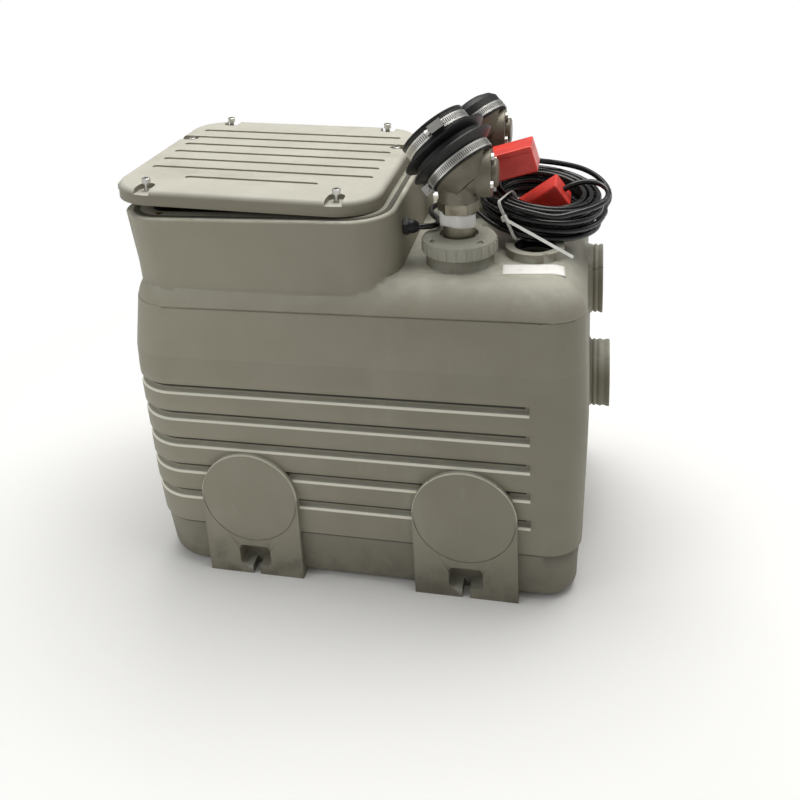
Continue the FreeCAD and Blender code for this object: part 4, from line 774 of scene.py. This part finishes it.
# Shoulder label. A bare strip of white paper tape stuck down in front of the vent's collar, bending
# over the tank's rounded end at its right.
def paper_skin():
    """White paper, faintly creased and soiled at its edges."""
    skin = Finish("white paper", 0.7)
    crease = skin.noise(90, 4, (1, 1, 0.4))
    soil = skin.noise(45, 4).between(0.55, 0.8)
    skin.set("Base Color", skin.blend(colour(228, 227, 222), colour(190, 186, 176), soil * 0.5))
    skin.bump(crease, 0.0006)
    return skin.material


paper = paper_skin()
paper_thickness = 0.0003


def mesh_piece(name, mesh, finish):
    """A finished mesh as a piece of the station."""
    piece = bpy.data.objects.new(name, mesh)
    bpy.context.collection.objects.link(piece)
    mesh.materials.append(finish)
    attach(piece, "station")
    return piece


def sheet_mesh(name, grid, thickness):
    """A thin closed sheet over a grid of (point, outward) pairs."""
    shape = bmesh.new()
    layers = []
    for lift in (0.0, thickness):
        layers.append([[shape.verts.new(p + n * lift) for p, n in row] for row in grid])
    low, high = layers
    rows, columns = len(grid), len(grid[0])
    for i in range(rows - 1):
        for j in range(columns - 1):
            shape.faces.new((high[i][j], high[i][j + 1], high[i + 1][j + 1], high[i + 1][j]))
            shape.faces.new((low[i][j], low[i + 1][j], low[i + 1][j + 1], low[i][j + 1]))
    rim = ([(0, j) for j in range(columns)] + [(i, columns - 1) for i in range(1, rows)]
           + [(rows - 1, j) for j in range(columns - 2, -1, -1)] + [(i, 0) for i in range(rows - 2, 0, -1)])
    for (a, b), (c, d) in zip(rim, rim[1:] + rim[:1]):
        shape.faces.new((low[a][b], low[c][d], high[c][d], high[a][b]))
    bmesh.ops.recalc_face_normals(shape, faces=shape.faces)
    mesh = bpy.data.meshes.new(name)
    shape.to_mesh(mesh)
    shape.free()
    mesh.shade_smooth()
    return mesh


shell = tank.data
shell_tree = BVHTree.FromPolygons([v.co for v in shell.vertices], [p.vertices for p in shell.polygons])


def on_shell(x, y, lift):
    """The point on the tank's top over a place, and the way out of it."""
    place, normal, _, _ = shell_tree.ray_cast(Vector((x, y, 0.53)), Vector((0, 0, -1)))
    if normal.z < 0:
        normal = -normal
    return place + normal * lift, normal


label_rows, label_columns = 8, 24
label_corner = Vector((0.231, -0.170))
label_across = Vector((0.0885, 0.0085))
label_up = Vector((-0.002, 0.036))
grid = []
for i in range(label_rows + 1):
    row = []
    for j in range(label_columns + 1):
        spot = label_corner + label_across * (j / label_columns) + label_up * (i / label_rows)
        curl = 0.0012 * max(0.0, j / label_columns - 0.8) ** 2 * 25
        row.append(on_shell(spot.x, spot.y, 0.0002 + curl))
    grid.append(row)
mesh_piece("shoulder_label", sheet_mesh("shoulder_label", grid, paper_thickness), paper)


# Nipple tape. A strip of white paper tape wound loosely round the front nipple, its end standing off.
tape_rows, tape_columns = 6, 60
nipple_x, nipple_y = 0.164, -0.122
grid = []
for i in range(tape_rows + 1):
    row = []
    for j in range(tape_columns + 1):
        share = j / tape_columns
        angle = math.radians(-175 + 330 * share)
        slack = 0.0006 + 0.0035 * max(0.0, 0.16 - share) / 0.16 + 0.0012 * math.sin(share * 17) ** 2
        radius = 0.0242 + slack
        height = 0.577 + 0.021 * i / tape_rows + 0.0035 * math.sin(share * 5.2 + 0.8) - 0.003 * share
        out = Vector((math.cos(angle), math.sin(angle), 0))
        row.append((Vector((nipple_x, nipple_y, height)) + out * radius, out))
    grid.append(row)
mesh_piece("nipple_tape", sheet_mesh("nipple_tape", grid, paper_thickness), paper)


# Coil tie. A long white nylon tie drawn round both coils, with its square head in front and its tail
# standing out over the tank's end.
def tie_skin():
    """White nylon, slightly translucent looking, with fine teeth marks."""
    skin = Finish("white nylon", 0.35, Specular_IOR_Level=0.5)
    skin.set("Base Color", skin.blend(colour(232, 232, 228), colour(205, 204, 198), skin.noise(60, 3)))
    skin.bump(skin.noise(1500, 2), 0.0001)
    return skin.material


dress("coil_tie", tie_skin())


# Room. A plain pale floor under soft light from above, as in a workshop; none of it is the object.
floor_mesh = bpy.data.meshes.new("floor")
reach = 15.0
floor_mesh.from_pydata([(-reach, -reach, 0), (reach, -reach, 0), (reach, reach, 0), (-reach, reach, 0)], [],
                       [(0, 1, 2, 3)])
floor = bpy.data.objects.new("floor", floor_mesh)
bpy.context.collection.objects.link(floor)
ground = Finish("pale floor", 0.9, Specular_IOR_Level=0.1)
ground.set("Base Color", (0.93, 0.93, 0.92, 1.0))
paths = ground.tree.nodes.new("ShaderNodeLightPath")
seen = Value(paths.outputs["Is Camera Ray"])
seen = seen.math("MAXIMUM", seen, Value(paths.outputs["Is Glossy Ray"]))
away = ground.node("VectorMath", {"operation": "LENGTH"}, {0: ground.place}, "Value").between(0.55, 1.3)
plain = ground.node("Emission", {}, {"Color": (1, 1, 1, 1), "Strength": 1.0})
mixed = ground.node("MixShader", {}, {0: away * seen, 1: Value(ground.shader.outputs[0]), 2: plain})
ground.tree.links.new(mixed.socket, ground.tree.nodes["Material Output"].inputs["Surface"])
floor_mesh.materials.append(ground.material)


def soft_light(name, place, target, size, power, tint):
    """A large soft lamp aimed at the tank."""
    data = bpy.data.lights.new(name, "AREA")
    data.shape = "RECTANGLE"
    data.size, data.size_y = size
    data.energy = power
    data.color = tint
    lamp = bpy.data.objects.new(name, data)
    bpy.context.collection.objects.link(lamp)
    lamp.location = place
    lamp.rotation_euler = (Vector(target) - Vector(place)).to_track_quat("-Z", "Y").to_euler()


soft_light("ceiling", (0.1, 0.5, 2.9), (0, 0, 0.3), (2.6, 2.0), 84, (1.0, 0.99, 0.97))
soft_light("window", (-2.2, -1.9, 1.9), (0, 0, 0.35), (1.6, 1.6), 15, (0.97, 0.98, 1.0))
soft_light("far_side", (2.4, 1.2, 1.8), (0.2, 0, 0.4), (1.2, 1.6), 8, (1.0, 0.99, 0.97))

world = bpy.data.worlds.new("room")
bpy.context.scene.world = world
world.use_nodes = True
tree = world.node_tree
sky = tree.nodes["Background"]
sky.inputs["Color"].default_value = (1.0, 1.0, 0.99, 1.0)
path = tree.nodes.new("ShaderNodeLightPath")
strength = Value(path.outputs["Is Camera Ray"]).math("MAXIMUM", Value(path.outputs["Is Camera Ray"]),
                                                     Value(path.outputs["Is Transmission Ray"]))
plug(sky.inputs["Strength"], strength * 0.7 + 0.3)
bpy.context.scene.view_settings.view_transform = "Standard"
